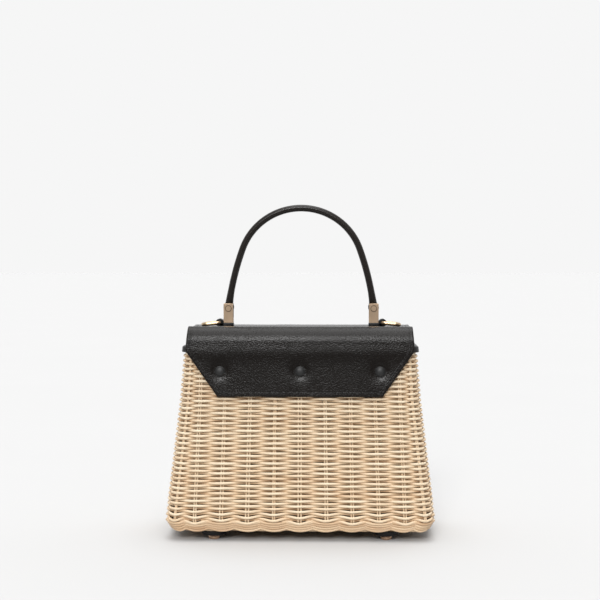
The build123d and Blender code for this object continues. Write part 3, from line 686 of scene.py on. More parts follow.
def weaver(row):
    """Centre line, radius and tone of one weaver, all round the basket."""
    u = np.linspace(0, STAKES, STAKES * STEPS, endpoint=False)
    base = ROWS_LOW + row * (ROWS_HIGH - ROWS_LOW) / (ROW_COUNT - 1)
    swing = np.cos(math.pi * (u + row))
    swing = np.sign(swing) * np.abs(swing) ** SWING_SHAPE
    out = MID_WALL + WEAVE_SWING * swing + short_wave(u, row, 0.12 * MM)
    near_foot = max(0.0, 1 - row / FOOT_ROWS)
    dip = near_foot * FOOT_DIP * np.cos(math.pi * u) ** 2
    z = base - dip + slow_wave(u, row // 3, 0.35 * MM) + short_wave(u, row + 400, 0.22 * MM)
    radius = STRAND * (1 + slow_wave(u, row + 900, 0.07)) * random.uniform(0.96, 1.04)
    # a strand spreads where it lies free over a stake
    radius = radius * (1 + 0.05 * np.abs(swing))
    # painted shade: the strands are darker where they pass inside the wall, behind the stakes, on
    # top of their random tone
    tone = random.uniform(0.3, 0.8) + slow_wave(u, row + 70, 0.2) + 0.42 * swing - 0.08
    return wall_point(u, z, out), radius, np.clip(tone, 0, 1)


def weave_band(name, rows):
    """Some rows of weavers, as one piece."""
    paths, radii, tones = zip(*(weaver(row) for row in rows))
    piece = tubes(name, paths, radii, tones, 8, WICKER, closed=True, flat=0.92)
    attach(piece, "basket_body")


third = ROW_COUNT // 3
weave_band("weave_lower", range(0, third))
weave_band("weave_middle", range(third, 2 * third))
weave_band("weave_upper", range(2 * third, ROW_COUNT))
PAIR_HALF = 0.044  # half the gap between the stakes of a pair, in stake places


def stake_pair(place):
    """The two stakes at one place, from the foot border to the rim."""
    z = np.linspace(BASKET_Z0 + 6 * MM, BASKET_Z1 - 0.5 * MM, 30)
    pair = []
    for side in (-1, 1):
        wander = np.interp(z, [z[0], z[-1]], [random.uniform(-0.02, 0.02) for _ in range(2)])
        u = place + side * PAIR_HALF + wander
        pair.append(wall_point(u, z, MID_WALL + 0.1 * MM))
    return pair


def stakes():
    """All the upright stakes, as one piece."""
    paths = [path for place in range(STAKES) for path in stake_pair(place)]
    radii = [STAKE_RADIUS * random.uniform(0.9, 1.1) for _ in paths]
    tones = [random.uniform(0.5, 1.0) for _ in paths]
    piece = tubes("stakes", paths, radii, tones, 8, WICKER_STAKE)
    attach(piece, "basket_body")
    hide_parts("basket")


stakes()


FOOT_LAYERS = 4
FOOT_REACH = 0.74  # stake places that each bent stake spans on either side
FOOT_STRAND = 1.42 * MM
FOOT_PITCH = 2.5 * MM  # height from one layer to the next
FOOT_SAG = 5.2 * MM  # how far the lowest layer hangs down in its scallops


def foot_border():
    """Stakes bent sideways at the foot: each arcs down under its own place and dives
    inwards on both sides, so that the foot is scalloped."""
    paths, radii, tones = [], [], []
    for place in range(STAKES):
        for layer in range(FOOT_LAYERS):
            v = np.linspace(-1, 1, 17)
            u = place + v * FOOT_REACH
            arc = np.cos(v * math.pi / 2)
            out = MID_WALL + (1.1 + 0.1 * layer) * MM * (2 * arc**0.8 - 1)
            low = BASKET_Z0 + FOOT_STRAND + 0.3 * MM + FOOT_PITCH * layer
            sag = FOOT_SAG - 0.6 * MM * layer
            z = low + sag * (1 - arc) + random.uniform(-0.12, 0.12) * MM
            paths.append(wall_point(u, z, out))
            radii.append(FOOT_STRAND * random.uniform(0.96, 1.04))
            tones.append(random.uniform(0.1, 0.4))
    piece = tubes("foot_border", paths, radii, tones, 8, WICKER)
    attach(piece, "basket_body")


foot_border()


FLOOR_INSET = 4 * MM  # from the outline of the foot to the woven floor's edge
STICK_INSET = 14 * MM  # from there to the first cross stick
STICK_RADIUS = 1.3 * MM
ROD_PITCH = 2.9 * MM
FLOOR_LEVEL = 3 * MM  # middle of the woven floor, above the underside


def woven_floor():
    """The basket's underside: rods along the length, over and under the cross sticks."""
    half_width = STATIONS[0, 1] / 2 - FLOOR_INSET
    half_depth = STATIONS[0, 2] / 2 - FLOOR_INSET
    sticks = np.linspace(-half_width + STICK_INSET, half_width - STICK_INSET, 10)
    pitch = sticks[1] - sticks[0]
    level = BASKET_Z0 + FLOOR_LEVEL
    paths, radii, tones = [], [], []
    rows = int(2 * half_depth / ROD_PITCH)
    for row in range(rows):
        y = -half_depth + (row + 0.5) * 2 * half_depth / rows
        x = np.linspace(-half_width + 2 * MM, half_width - 2 * MM, 90)
        wave = np.cos(math.pi * ((x - sticks[0]) / pitch + row))
        z = level + STICK_RADIUS * wave
        paths.append(np.stack([x, np.full_like(x, y), z], -1))
        radii.append(STRAND)
        tones.append(random.uniform(0.1, 0.7))
    for x in sticks:
        y = np.linspace(-half_depth, half_depth, 6)
        paths.append(np.stack([np.full_like(y, x), y, np.full_like(y, level)], -1))
        radii.append(STICK_RADIUS)
        tones.append(random.uniform(0.3, 0.8))
    piece = tubes("woven_floor", paths, radii, tones, 6, WICKER)
    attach(piece, "basket_body")


woven_floor()


# ---- rings of leather and cloth that follow the basket ------------------------------------
def loop_skin(name, section, material, ripple=0.0):
    """A closed band round the basket: section is a closed loop of (outwards, height)."""
    u = np.linspace(0, STAKES, STAKES * 6, endpoint=False)
    columns = []
    for number, (out, z) in enumerate(section):
        wave = slow_wave(u, number // 3 + 50, ripple)
        columns.append(wall_point(u, np.full_like(u, z), out + wave))
    points = np.stack(columns, 1)
    rows = len(section)
    count = len(u)
    faces = []
    for i in range(count):
        j = (i + 1) % count
        for k in range(rows):
            m = (k + 1) % rows
            faces.append((i * rows + k, i * rows + m, j * rows + m, j * rows + k))
    piece = new_mesh(name, points.reshape(-1, 3), faces, material)
    edit(piece)
    close_up()
    return piece


def rounded_strip(out_face, in_face, low, high, thickness):
    """Section of a strip folded over the rim, as (outwards, height) points."""
    middle = (out_face + in_face) / 2
    half = (out_face - in_face) / 2
    crown = half * 0.45  # height of the rounded top
    shoulder = high - crown
    corner = low + thickness * 0.4  # the cut edges are a little rounded
    section = [(out_face - thickness * 0.3, low), (out_face, corner)]
    section += [(out_face, z) for z in np.linspace(low + 2 * MM, shoulder, 5)]
    for angle in np.radians(np.linspace(15, 165, 9)):
        section.append((middle + half * math.cos(angle), shoulder + crown * math.sin(angle)))
    section += [(in_face, z) for z in np.linspace(shoulder, low + 2 * MM, 5)]
    section += [(in_face, corner), (in_face + thickness * 0.3, low)]
    section += [(in_face + thickness, corner), (in_face + thickness, high - thickness)]
    section += [(out_face - thickness, high - thickness), (out_face - thickness, corner)]
    return section


BINDING_PROUD = 1.3 * MM  # how far the binding stands off the basket's wall


def rim_binding():
    """The leather strip folded over the basket's rim."""
    low, high = binding_low.z, binding_high.z
    section = rounded_strip(BINDING_PROUD, -WALL - BINDING_PROUD, low, high, 1.2 * MM)
    piece = loop_skin("rim_binding_leather", section, LEATHER_PLAIN)
    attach(piece, "basket_body")
    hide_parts("rim_binding")


rim_binding()


CLOTH = 1.1 * MM  # thickness of the basket's lining
WALLS_REACH = 40 * MM  # how far the walls' cloth runs in under the floor's
FLOOR_GAP = 35 * MM  # from the lining's outline to the floor's cloth


def basket_lining():
    """Cloth bag inside the basket: walls, a soft bend and the floor."""
    # the cloth's top edge is tucked under the binding
    low, high = lining_low.z, binding_low.z + 2 * MM
    out = -WALL - 0.1 * MM
    heights = np.linspace(high, low + 6 * MM, 14)
    section = [(out, z) for z in heights]
    section += [(out - 1.5 * MM, low + 2 * MM), (out - 6 * MM, low + 0.2 * MM)]
    section += [(-WALLS_REACH, low + 0.2 * MM), (-WALLS_REACH, low + 0.2 * MM + CLOTH)]
    section += [(out - 6 * MM - CLOTH, low + 0.3 * MM + CLOTH)]
    section += [(out - 1.6 * MM - CLOTH, low + 3 * MM)]
    section += [(out - CLOTH, z) for z in heights[::-1]]
    piece = loop_skin("lining_bag", section, TWILL, ripple=0.12 * MM)
    half_width, half_depth = lining_high.x - FLOOR_GAP, lining_high.y - FLOOR_GAP
    floor = block(
        "lining_floor",
        (-half_width, -half_depth, low + 0.15 * MM),
        (half_width, half_depth, low + 0.25 * MM + CLOTH),
        TWILL,
    )
    piece = joined("lining_bag", [piece, floor])
    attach(piece, "basket_body")
    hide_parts("lining")


basket_lining()


# ---- leather cover: cut flat, stitched, then wrapped over the lid -------------------------
EDGE_Z = panel_low.z
LID_TOP = cover_high.z
COVER_HALF = panel_high.x
FOLD = joint_at["lid_fold"]
LEAN_RUN = (FOLD.y + LEATHER / 2 - panel_high.y) / (FOLD.z - EDGE_Z)
LEAN = -math.atan(LEAN_RUN)  # how far the rear panel leans forwards
ROLL_TURN = math.pi / 2 - LEAN
STRAIGHT = (LID_TOP - EDGE_Z - ROLL * (1 - math.sin(LEAN))) / math.cos(LEAN)
FLAT_HALF = panel_high.y - STRAIGHT * math.sin(LEAN) - ROLL * math.cos(LEAN)
COVER_LENGTH = 2 * (STRAIGHT + ROLL * ROLL_TURN + FLAT_HALF)
CUT_WIDTH = 33.5 * MM  # corners cut off the flat pattern
CUT_LENGTH = 47.7 * MM / math.cos(LEAN)
CUT_SLANT = math.hypot(CUT_WIDTH, CUT_LENGTH)
EDGE_ROUNDING = 0.8 * MM
# edge loops, in from the cut edges, for the rounding and the stitch line
EDGE_LOOPS = (0.25 * MM, EDGE_ROUNDING, 3.8 * MM, STITCH_INSET, 5 * MM)
STUDS = {}  # each stud's place on the flat pattern
for stud_name in ("left", "centre", "right"):
    stud_low, stud_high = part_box("panel_stud_" + stud_name)
    middle = (stud_low + stud_high) / 2
    STUDS[stud_name] = (middle.x, (middle.z - EDGE_Z) / math.cos(LEAN))
SWELL_ALONG = (FOLD.z - 7 * MM - EDGE_Z) / math.cos(LEAN)
STUD_DIMPLE = 0.9 * MM  # how deep the studs pull the leather in
ROLL_CREST = STRAIGHT + ROLL * ROLL_TURN
DRAWN_IN = 0.012  # share of the half width by which the top is narrower
DRAW_START = 12 * MM  # below the roll
DRAW_LENGTH = 28 * MM


def on_cover(x, s, w):
    """Where a point of the flat pattern lies on the finished cover: x across, s along from
    its rear lower edge, w above its outer face."""
    x, s, w = (np.asarray(v, float) for v in (x, s, w))
    front = s > COVER_LENGTH / 2
    t = np.where(front, COVER_LENGTH - s, s)
    angle = LEAN + np.clip((t - STRAIGHT) / ROLL, 0, ROLL_TURN)
    low = np.minimum(t, STRAIGHT)
    flat = np.maximum(t - STRAIGHT - ROLL * ROLL_TURN, 0)
    y = panel_high.y - low * math.sin(LEAN) - flat
    y = y + ROLL * (np.cos(angle) - math.cos(LEAN)) + w * np.cos(angle)
    z = EDGE_Z + low * math.cos(LEAN)
    z = z + ROLL * (np.sin(angle) - math.sin(LEAN)) + w * np.sin(angle)
    # the side edges draw in a little over the top
    rise = np.clip((t - STRAIGHT + DRAW_START) / DRAW_LENGTH, 0, 1)
    x = x * (1 - DRAWN_IN * rise * rise * (3 - 2 * rise))
    return np.stack(np.broadcast_arrays(x, np.where(front, -y, y), z), axis=-1)


def edge_distance(x, s):
    """Distance of a point of the flat pattern from its nearest edge."""
    x, s = np.abs(np.asarray(x, float)), np.asarray(s, float)
    end = np.minimum(s, COVER_LENGTH - s)
    corner = ((COVER_HALF - CUT_WIDTH - x) * CUT_LENGTH + end * CUT_WIDTH) / CUT_SLANT
    return np.minimum(np.minimum(COVER_HALF - x, end), corner)


def cut_line(piece, point, normal, near=lambda x, s: True, clear=False):
    """Cuts the flat sheet along a line, only where near(x, s) says so."""
    pick(piece, lambda centre, _: near(centre.x, centre.y))
    bpy.ops.mesh.bisect(
        plane_co=(point[0], point[1], 0), plane_no=(normal[0], normal[1], 0), clear_outer=clear
    )


def cover_blank():
    """The flat sheet, cut to shape, as thick as the leather."""
    bpy.ops.mesh.primitive_grid_add(
        x_subdivisions=120, y_subdivisions=150, size=1, location=(0, COVER_LENGTH / 2, 0)
    )
    cover = made("leather_cover")
    cover.scale = (2 * COVER_HALF, COVER_LENGTH, 1)
    shaped(cover)
    bpy.ops.object.mode_set(mode="EDIT")
    for side in (1, -1):
        for end_s, toward in ((0.0, 1), (COVER_LENGTH, -1)):
            out = (side * CUT_LENGTH / CUT_SLANT, -toward * CUT_WIDTH / CUT_SLANT)

            def near(x, s, side=side, end_s=end_s):
                return x * side > 0.5 * COVER_HALF and abs(s - end_s) < CUT_LENGTH + 8 * MM

            for inset in (0, *EDGE_LOOPS):
                point = (side * (COVER_HALF - CUT_WIDTH) - out[0] * inset, end_s - out[1] * inset)
                cut_line(cover, point, out, near, clear=inset == 0)
    for inset in EDGE_LOOPS:
        for side in (1, -1):
            cut_line(cover, (side * (COVER_HALF - inset), 0), (1, 0))
        for end_s in (inset, COVER_LENGTH - inset):
            cut_line(cover, (0, end_s), (0, 1))
    close_up(20 * SAME_POINT)
    mesh = cover.data
    if mesh.polygons[0].normal.z < 0:
        mesh.flip_normals()
    mesh.materials.append(LEATHER_COVER)
    mesh.materials.append(EDGE_PAINT)
    finish_with(cover, "SOLIDIFY", thickness=LEATHER, offset=-1, material_offset_rim=1)
    return cover


def hump(distance, reach, power=2):
    """A smooth hump: 1 where distance is 0, fading over reach."""
    return np.exp(-((distance / reach) ** power))


def relief(x, s, w, far):
    """Height w over the flat pattern, with all that stands off it; far is the distance from
    the nearest edge."""
    # round the cut edges and press in the stitch line, on both faces
    inwards = 1 - np.clip(far / EDGE_ROUNDING, 0, 1)
    dome = 0.75 * MM * (1 - np.sqrt(np.clip(1 - inwards**2, 0, 1)))
    crease = 0.28 * MM * np.clip(1 - np.abs(far - STITCH_INSET) / (0.6 * MM), 0, 1)
    outer = w > -LEATHER / 2
    w = np.where(outer, w - dome - crease, w + dome + crease)
    # the studs pull the panel in round them
    for stud_x, stud_s in STUDS.values():
        off = np.hypot(x - stud_x, s - stud_s)
        dip = STUD_DIMPLE * hump(np.clip(off - 5 * MM, 0, None), 5.5 * MM, 1.6)
        dip = dip + 0.5 * MM * hump(off - 6.4 * MM, 1.3 * MM)
        w = w - np.where(outer, dip, 0)
    # the panel swells a little below the fold
    rear = s < COVER_LENGTH / 2
    w = w + np.where(rear, 0.5 * MM * hump(s - SWELL_ALONG, 8 * MM), 0)
    # the rolls stand a little above the top between them
    along = np.minimum(s, COVER_LENGTH - s)
    w = w + np.where(rear, 1.9 * MM, 0.3 * MM) * hump(along - ROLL_CREST, 11 * MM)
    # slow unevenness of the leather
    ripple = np.sin(x * 71 + 1.3 * np.sin(s * 47)) * np.sin(s * 83 + 1.1 * np.sin(x * 59))
    return w + np.where(outer, 0.10 * MM * ripple, 0)


def leather_cover():
    """Rear panel, lid cover and flap: one sheet, wrapped over the lid."""
    cover = cover_blank()
    mesh = cover.data
    x, s, w = points_of(mesh)
    far = edge_distance(x, s)
    mesh.vertices.foreach_set("co", on_cover(x, s, relief(x, s, w, far)).ravel())
    point_attribute(mesh, "edge_distance", far)
    mesh.update()
    smooth_by_angle(cover, 50)
    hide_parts("rear_panel", "lid_cover")
    return cover


def bend_at_fold(piece):
    """Puts the piece's place into its mesh; the leather's bend just above the rim is not made
    here, and the flap is not tied to the lid.
    """
    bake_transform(piece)


leather = leather_cover()
bend_at_fold(leather)


def stitch_places():
    """Middle and direction of every stitch, on the flat pattern."""
    d = STITCH_INSET
    side = COVER_HALF - d
    low = COVER_HALF - CUT_WIDTH + d * (CUT_WIDTH - CUT_SLANT) / CUT_LENGTH
    high = (CUT_SLANT * d + CUT_LENGTH * (side - COVER_HALF + CUT_WIDTH)) / CUT_WIDTH
    far = COVER_LENGTH
    ring = [(low, d), (side, high), (side, far - high), (low, far - d)]
    ring += [(-low, far - d), (-side, far - high), (-side, high), (-low, d)]
    places = []
    for (x0, s0), (x1, s1) in zip(ring, ring[1:] + ring[:1]):
        length = math.hypot(x1 - x0, s1 - s0)
        number = round(length / STITCH_PITCH)
        for i in range(number):
            share = (i + 0.5) / number
            angle = math.atan2(s1 - s0, x1 - x0)
            places.append((x0 + (x1 - x0) * share, s0 + (s1 - s0) * share, angle))
    return places


STITCH_SIZE = (2.7 * MM, 0.75 * MM, 0.6 * MM)
STITCH_SLANT = 0.09  # radians off the seam
STITCH_SUNK = 0.1 * MM


def stitch_shape():
    """One stitch: a short plump thread that dives in at both ends."""
    bpy.ops.mesh.primitive_uv_sphere_add(segments=8, ring_count=6, radius=0.5)
    stitch = bpy.context.object
    stitch.rotation_euler = (0, math.pi / 2, 0)
    shaped(stitch)
    stitch.scale = STITCH_SIZE
    shaped(stitch)
    return stitch


def cover_stitches():
    """The seam's stitches on both faces of the leather, as one piece."""
    first = stitch_shape()
    copies = []
    for x, s, angle in stitch_places():
        for face, w in ((1, -STITCH_SUNK), (-1, -LEATHER + STITCH_SUNK)):
            mesh = first.data.copy()
            turn = Matrix.Rotation(angle + face * STITCH_SLANT, 4, "Z")
            mesh.transform(Matrix.Translation((x, s, w)) @ turn)
            mesh.vertices.foreach_set("co", on_cover(*points_of(mesh)).ravel())
            copies.append(linked("stitch", mesh))
    bpy.data.objects.remove(first)
    piece = joined("cover_stitches", copies)
    piece.data.shade_smooth()
    piece.data.materials.clear()
    piece.data.materials.append(THREAD)
    edit(piece)
    close_up()
    return piece


stitches = cover_stitches()
bend_at_fold(stitches)


# ---- studs on the rear panel --------------------------------------------------------------
TO_PANEL = Matrix.Rotation(LEAN - math.pi / 2, 4, "X")


def rear_studs():
    """Domed black studs with a thin rolled skirt."""
    profile = [(0, 2.55), (1.2, 2.5), (2.4, 2.3), (3.4, 1.95), (4.2, 1.45), (4.75, 0.85)]
    profile += [(4.95, 0.5), (5.25, 0.36), (5.3, 0.15), (5.2, 0.0), (1.25, 0.0)]
    profile += [(1.25, -15.0), (0, -15.2)]
    for name, (stud_x, stud_s) in STUDS.items():
        seat = Vector(on_cover(stud_x, stud_s, 0.15 * MM - STUD_DIMPLE))
        stud = lathe("stud_" + name, profile, seat, ENAMEL, turn=TO_PANEL)
        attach(stud, "basket_body")
        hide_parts("panel_stud_" + name)


rear_studs()


# ---- handle -------------------------------------------------------------------------------
core_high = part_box("handle_core")[1]
pin_low, pin_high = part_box("handle_pin_right")
bracket_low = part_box("handle_bracket_right")[0]
CORE_RADIUS = 2.2 * MM
PIN = Vector(((pin_low.x + pin_high.x) / 2, 0, (pin_low.z + pin_high.z) / 2))
ARCH = 67 * MM
ARCH_CENTRE = Vector((0, 0, core_high.z - CORE_RADIUS - ARCH))
LEG_ANGLE = math.radians(20)
LEG_TOP = ARCH_CENTRE + ARCH * Vector((math.cos(LEG_ANGLE), 0, math.sin(LEG_ANGLE)))
LEG_SPAN = PIN - LEG_TOP
LEG_IN = Vector((-math.cos(LEG_ANGLE), 0, -math.sin(LEG_ANGLE)))
LEG_RADIUS = LEG_SPAN.length_squared / (2 * LEG_SPAN.dot(LEG_IN))
LEG_TURN = 2 * math.asin(LEG_SPAN.length / 2 / LEG_RADIUS)
LEG_CENTRE = LEG_TOP + LEG_RADIUS * LEG_IN
LEG_OUT = (PIN - LEG_CENTRE).normalized()
LEG_DOWN = Vector((LEG_OUT.z, 0, -LEG_OUT.x))
ARCH_TOP = ARCH_CENTRE.z + ARCH
ARCH_FLATTEN = 0.8 * MM  # how far the top of the arch is lower than a circle's
TAB_REACH = 5.7 * MM  # the end tab runs on this far past the pin
TAB_STEPS = 8

# half width of the handle in the plane of its arch, by distance above the pin, in mm
HANDLE_WIDTHS = [
    (-5.7, 0.5), (-5.2, 2.3), (-4.4, 3.7), (-3.0, 4.9), (0, 5.75), (2.5, 5.75), (4.4, 5.2),
    (5.4, 4.3), (6.4, 4.2), (10.0, 4.0), (14.0, 3.85), (17.5, 3.7), (21.5, 3.6), (60.0, 3.6),
    (130.0, 3.7),
]
# half depth across the arch
HANDLE_DEPTHS = [(-5.7, 2.4), (5.6, 2.4), (6.6, 3.0), (8.5, 4.0), (11.0, 4.2), (130.0, 4.25)]


def handle_leather():
    """A rolled leather handle, turned along its arch, flattened into a tab at each end."""
    bpy.ops.mesh.primitive_circle_add(vertices=36, radius=1 * MM, fill_type="NGON")
    handle = made("handle_leather")
    handle.data.transform(Matrix.Rotation(-math.atan2(LEG_OUT.z, LEG_OUT.x), 4, "Y"))
    handle.data.transform(Matrix.Translation(PIN + LEG_DOWN * TAB_REACH))
    edit(handle)
    step = -LEG_DOWN * TAB_REACH / TAB_STEPS
    for _ in range(TAB_STEPS):
        bpy.ops.mesh.extrude_region_move(TRANSFORM_OT_translate={"value": step})
    bpy.ops.mesh.spin(steps=72, angle=LEG_TURN, center=LEG_CENTRE, axis=(0, 1, 0))
    bpy.ops.mesh.spin(
        steps=84, angle=math.pi - 2 * LEG_ANGLE, center=ARCH_CENTRE, axis=(0, 1, 0)
    )
    centre = Vector((-LEG_CENTRE.x, 0, LEG_CENTRE.z))
    bpy.ops.mesh.spin(steps=72, angle=LEG_TURN, center=centre, axis=(0, 1, 0))
    step = Vector((-LEG_DOWN.x, 0, LEG_DOWN.z)) * TAB_REACH / TAB_STEPS
    for _ in range(TAB_STEPS):
        bpy.ops.mesh.extrude_region_move(TRANSFORM_OT_translate={"value": step})
    close_up(SAME_POINT)
    widths = np.array(HANDLE_WIDTHS).T * MM
    depths = np.array(HANDLE_DEPTHS).T * MM
    for vertex in handle.data.vertices:
        side = 1 if vertex.co.x > 0 else -1
        point = Vector((abs(vertex.co.x), 0, vertex.co.z))
        if point.z < LEG_TOP.z and point.x > 0.5 * LEG_TOP.x:
            past = (point - PIN).dot(LEG_DOWN)
            if past > 0:
                along, out = -past, LEG_OUT
                middle = PIN + LEG_DOWN * past
            else:
                out = (point - LEG_CENTRE).normalized()
                along = LEG_RADIUS * math.acos(min(1.0, out.dot(LEG_OUT)))
                middle = LEG_CENTRE + LEG_RADIUS * out
        else:
            out = (point - ARCH_CENTRE).normalized()
            turned = math.atan2(out.z, out.x) - LEG_ANGLE
            along = LEG_RADIUS * LEG_TURN + ARCH * turned
            middle = ARCH_CENTRE + ARCH * out
        wide = np.interp(along, *widths) / MM
        deep = np.interp(along, *depths) / MM
        place = middle + out * ((point - middle).dot(out) * wide)
        place.z -= ARCH_FLATTEN * max(0.0, place.z - LEG_TOP.z) / (ARCH_TOP - LEG_TOP.z)
        vertex.co = Vector((side * place.x, vertex.co.y * deep, place.z))
    handle.data.materials.append(LEATHER_HANDLE)
    handle.data.shade_smooth()
    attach(handle, "lid")
    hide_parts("handle")


handle_leather()


# ---- handle fittings ----------------------------------------------------------------------
PLATE_ROUNDING = 0.7 * MM


def base_plate(name, side):
    """Base plate under the bracket, with the barrel that holds the strap ring."""
    low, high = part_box("base_plate_right")
    pivot = joint_at["ring_swing_right"]
    radius = high.z - pivot.z
    plate = block(
        name, (low.x, low.y, low.z), (high.x - radius, high.y, bracket_low.z), DARK_PLATE
    )
    soften(plate, PLATE_ROUNDING)
    bpy.ops.mesh.primitive_cylinder_add(
        vertices=48, radius=radius, depth=high.y - low.y, location=(pivot.x, 0, pivot.z),
        rotation=(math.pi / 2, 0, 0), end_fill_type="NGON",
    )
    barrel = bpy.context.object
    shaped(barrel)
    edit(barrel)
    bpy.ops.mesh.bisect(
        plane_co=(0, 0, low.z), plane_no=(0, 0, -1), clear_outer=True, use_fill=True
    )
    shaped(barrel)
    barrel.data.materials.append(DARK_PLATE)
    soften(barrel, PLATE_ROUNDING)
    piece = joined(name, [plate, barrel])
    if side < 0:
        mirror_across(piece)
    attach(piece, "lid")
    return piece


def mirror_across(piece):
    """Turns a piece into its mirror image at the other end of the lid."""
    piece.data.transform(Matrix.Scale(-1, 4, (1, 0, 0)))
    piece.data.flip_normals()


for side_name, side in (("right", 1), ("left", -1)):
    plate = base_plate("ring_plate_" + side_name, side)
    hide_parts("base_plate_" + side_name)


# ---- feet ---------------------------------------------------------------------------------
def feet():
    """Leather pads with a gold stud under each, at the four corners."""
    for name in ("rear_right", "rear_left", "front_right", "front_left"):
        low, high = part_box("foot_pad_" + name)
        centre = Vector(((low.x + high.x) / 2, (low.y + high.y) / 2, 0))
        wide, seat, top = (high.x - low.x) / 2 / MM, low.z / MM, high.z / MM
        pad_profile = [(0, top), (wide - 0.4, top), (wide - 0.05, top - 0.3), (wide, top - 0.9)]
        pad_profile += [(wide - 0.1, seat + 1.5), (wide - 0.5, seat + 0.7)]
        pad_profile += [(wide - 1.3, seat + 0.15), (wide - 2.4, seat), (0, seat)]
        pad = lathe("foot_leather_" + name, pad_profile, centre, LEATHER_PLAIN, 56)
        low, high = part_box("foot_stud_" + name)
        wide = (high.x - low.x) / 2 / MM
        stud_profile = [(0, seat + 0.1), (wide - 0.3, seat + 0.1), (wide, seat - 0.25)]
        stud_profile += [(wide, seat - 1.1), (wide - 0.25, seat - 1.3), (wide - 0.05, seat - 1.6)]
        stud_profile += [(wide - 0.05, 0.8), (wide - 0.3, 0.22), (wide - 0.9, 0), (0, 0)]
        stud = lathe("foot_cap_" + name, stud_profile, centre, ROSE_GOLD, 44)
        for piece, node in ((pad, "foot_pad_"), (stud, "foot_stud_")):
            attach(piece, "basket_body")
            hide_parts(node + name)


feet()


# ---- lid lining ---------------------------------------------------------------------------
LID_CLOTH = 1 * MM
LID_CLOTH_BEND = 9.6 * MM  # radius along the two long upper edges


def lid_lining():
    """Cloth glued inside the lid: a shallow upturned tray."""
    low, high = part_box("lid_lining")
    tray = block("lid_cloth", low, high, TWILL)
    edit(tray)
    top = high.z - LID_CLOTH
    pick(tray, lambda middle, run: middle.z > top and abs(run.x) > abs(run.y), kind="EDGE")
    bpy.ops.mesh.bevel(offset=LID_CLOTH_BEND, segments=10, affect="EDGES", clamp_overlap=False)
    pick(tray, lambda centre, normal: normal.z < -0.9)
    bpy.ops.mesh.delete(type="FACE")
    bpy.ops.object.mode_set(mode="OBJECT")
    finish_with(tray, "SOLIDIFY", thickness=LID_CLOTH, offset=-1)
    smooth_by_angle(tray, 40)
    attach(tray, "lid")
    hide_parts("lid_lining")


lid_lining()


# ---- finishes of the CAD pieces that stay -------------------------------------------------
GROOVE_SHADE_REACH = 4 * MM  # distance from the pin's middle that counts as 1 in the ramp of the painted shade ring


def pin_material():
    """Brushed gold with a painted shade ring round each pin's head, standing for the shadow in the
    gap round it.
    """
    material = BRUSHED_GOLD.copy()
    material.name = "pin_gold"
    tree = material.node_tree
    shader = tree.nodes["Principled BSDF"]
    spot = add_node(tree, "ShaderNodeSeparateXYZ", {0: object_place(tree)})
    across = minus(tree, math_node(tree, "ABSOLUTE", spot.outputs["X"]), PIN.x)
    rise = minus(tree, spot.outputs["Z"], PIN.z)
    squares = [
        math_node(tree, "POWER", math_node(tree, "ABSOLUTE", way), 2.0) for way in (across, rise)
    ]
    reach = math_node(tree, "SQRT", add(tree, *squares))
    radius = math_node(tree, "DIVIDE", reach, GROOVE_SHADE_REACH)
    # painted shade: a dark ring round each pin's head, where the gap round the head would lie in
    # shadow
    painted_groove_shade = ramp(tree, radius, [(0.68, 0.0), (0.76, 1.0)], False)
    metal = shader.inputs["Base Color"].links[0].from_socket
    put(tree, shader, "Base Color", mix_colours(tree, painted_groove_shade, metal, (0.10, 0.07, 0.05, 1)))
    return material


PIN_GOLD = pin_material()
FINISHES = {
    "base_board": BOARD,
    "lid_shell": SHELL,
    "handle_core": CORD,
    "snap_base": STEEL,
    "snap_nut": STEEL,
    "snap_plate": STEEL,
    "stud_nut": STEEL,
    "foot_nut": STEEL,
    "bracket_screw": STEEL,
    "handle_bracket": BRUSHED_GOLD,
    "handle_pin": PIN_GOLD,
    "strap_ring": RING_GOLD,
}
for node_name, node in frame["nodes"].items():
    for start, material in FINISHES.items():
        if node_name.startswith(start) and not node.hide_render:
            node.data.materials.clear()
            node.data.materials.append(material)


# ---- floor, light and camera --------------------------------------------------------------
FLOOR_SIZE = 40.0
FLOOR_EDGE = 0.5  # the pale floor ends this far behind the bag, and the room there is dark


def studio_floor():
    """A matt pale floor."""
    middle = (0, FLOOR_EDGE - FLOOR_SIZE / 2, 0)
    bpy.ops.mesh.primitive_grid_add(
        x_subdivisions=8, y_subdivisions=8, size=FLOOR_SIZE, location=middle
    )
    floor = made("studio_floor")
    shaped(floor)
    material, tree, shader = new_material("pale_floor")
    cloud = noise(tree, object_place(tree), 3.0, 2.0)
    colour = mix_colours(tree, cloud, (0.530, 0.530, 0.530, 1), (0.540, 0.540, 0.540, 1))
    put(tree, shader, "Base Color", colour)
    put(tree, shader, "Roughness", 1.0)
    put(tree, shader, "Specular IOR Level", 0.0)
    floor.data.materials.append(material)


studio_floor()


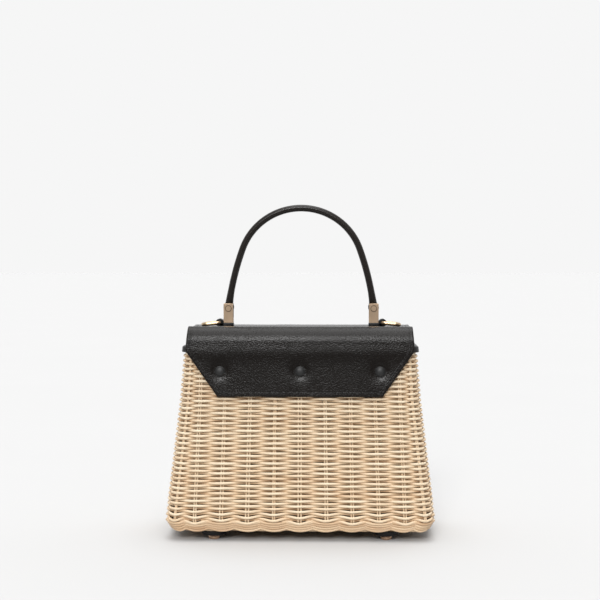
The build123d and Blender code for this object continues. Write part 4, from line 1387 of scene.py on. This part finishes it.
def studio_world():
    """A white backdrop in front of the bag, a dimmer room behind it, a pale ceiling; the
    camera sees plain off-white."""
    world = bpy.data.worlds.new("studio")
    bpy.context.scene.world = world
    world.use_nodes = True
    tree = world.node_tree
    tree.nodes.clear()
    coordinates = add_node(tree, "ShaderNodeTexCoord")
    parts = add_node(tree, "ShaderNodeSeparateXYZ", {0: coordinates.outputs["Generated"]})
    room = ramp(tree, parts.outputs["Z"], [(0.0, 0.12), (0.3, 0.2), (0.9, 0.8)], False)
    toward = add_node(
        tree, "ShaderNodeMapRange", {0: parts.outputs["Y"], 1: 0.25, 2: -0.35, 3: 0.0, 4: 1.0}
    )
    glow = mix_colours(tree, toward.outputs[0], room, (0.92, 0.92, 0.92, 1))
    lit = add_node(tree, "ShaderNodeBackground", {"Color": glow, "Strength": 1.0})
    seen = add_node(
        tree, "ShaderNodeBackground", {"Color": (0.922, 0.922, 0.922, 1), "Strength": 1.0}
    )
    path = add_node(tree, "ShaderNodeLightPath")
    both = add_node(
        tree, "ShaderNodeMixShader",
        {0: path.outputs["Is Camera Ray"], 1: lit.outputs[0], 2: seen.outputs[0]},
    )
    out = add_node(tree, "ShaderNodeOutputWorld", {"Surface": both.outputs[0]})
    out.target = "ALL"


studio_world()


def sun(name, toward, strength, spread):
    """A broad soft light that shines from the direction toward."""
    data = bpy.data.lights.new(name, "SUN")
    data.energy = strength
    data.angle = math.radians(spread)
    linked(name, data).rotation_euler = Vector(toward).to_track_quat("Z", "Y").to_euler()


sun("key_light", (0.10, 1.0, 0.54), 2.1, 19)
sun("fill_light", (0.0, 0.5, 1.0), 1.0, 36)
sun("top_light", (0.0, -0.16, 1.0), 1.3, 40)

CAMERA_TILT = 0.0279  # radians down from level
CAMERA_TURN = 0.0244  # radians to the camera's left
LENS_REACH = 4.32  # metres away at which half the picture's width is one metre
camera_data = bpy.data.cameras.new("camera")
camera = linked("camera", camera_data)
camera.location = (-0.033, 1.4, 0.289)
camera.rotation_euler = (math.pi / 2 - CAMERA_TILT, 0, math.pi + CAMERA_TURN)
camera_data.sensor_width = 36
camera_data.lens = camera_data.sensor_width / 2 * LENS_REACH
bpy.context.scene.camera = camera
bpy.context.scene.view_settings.view_transform = "Standard"
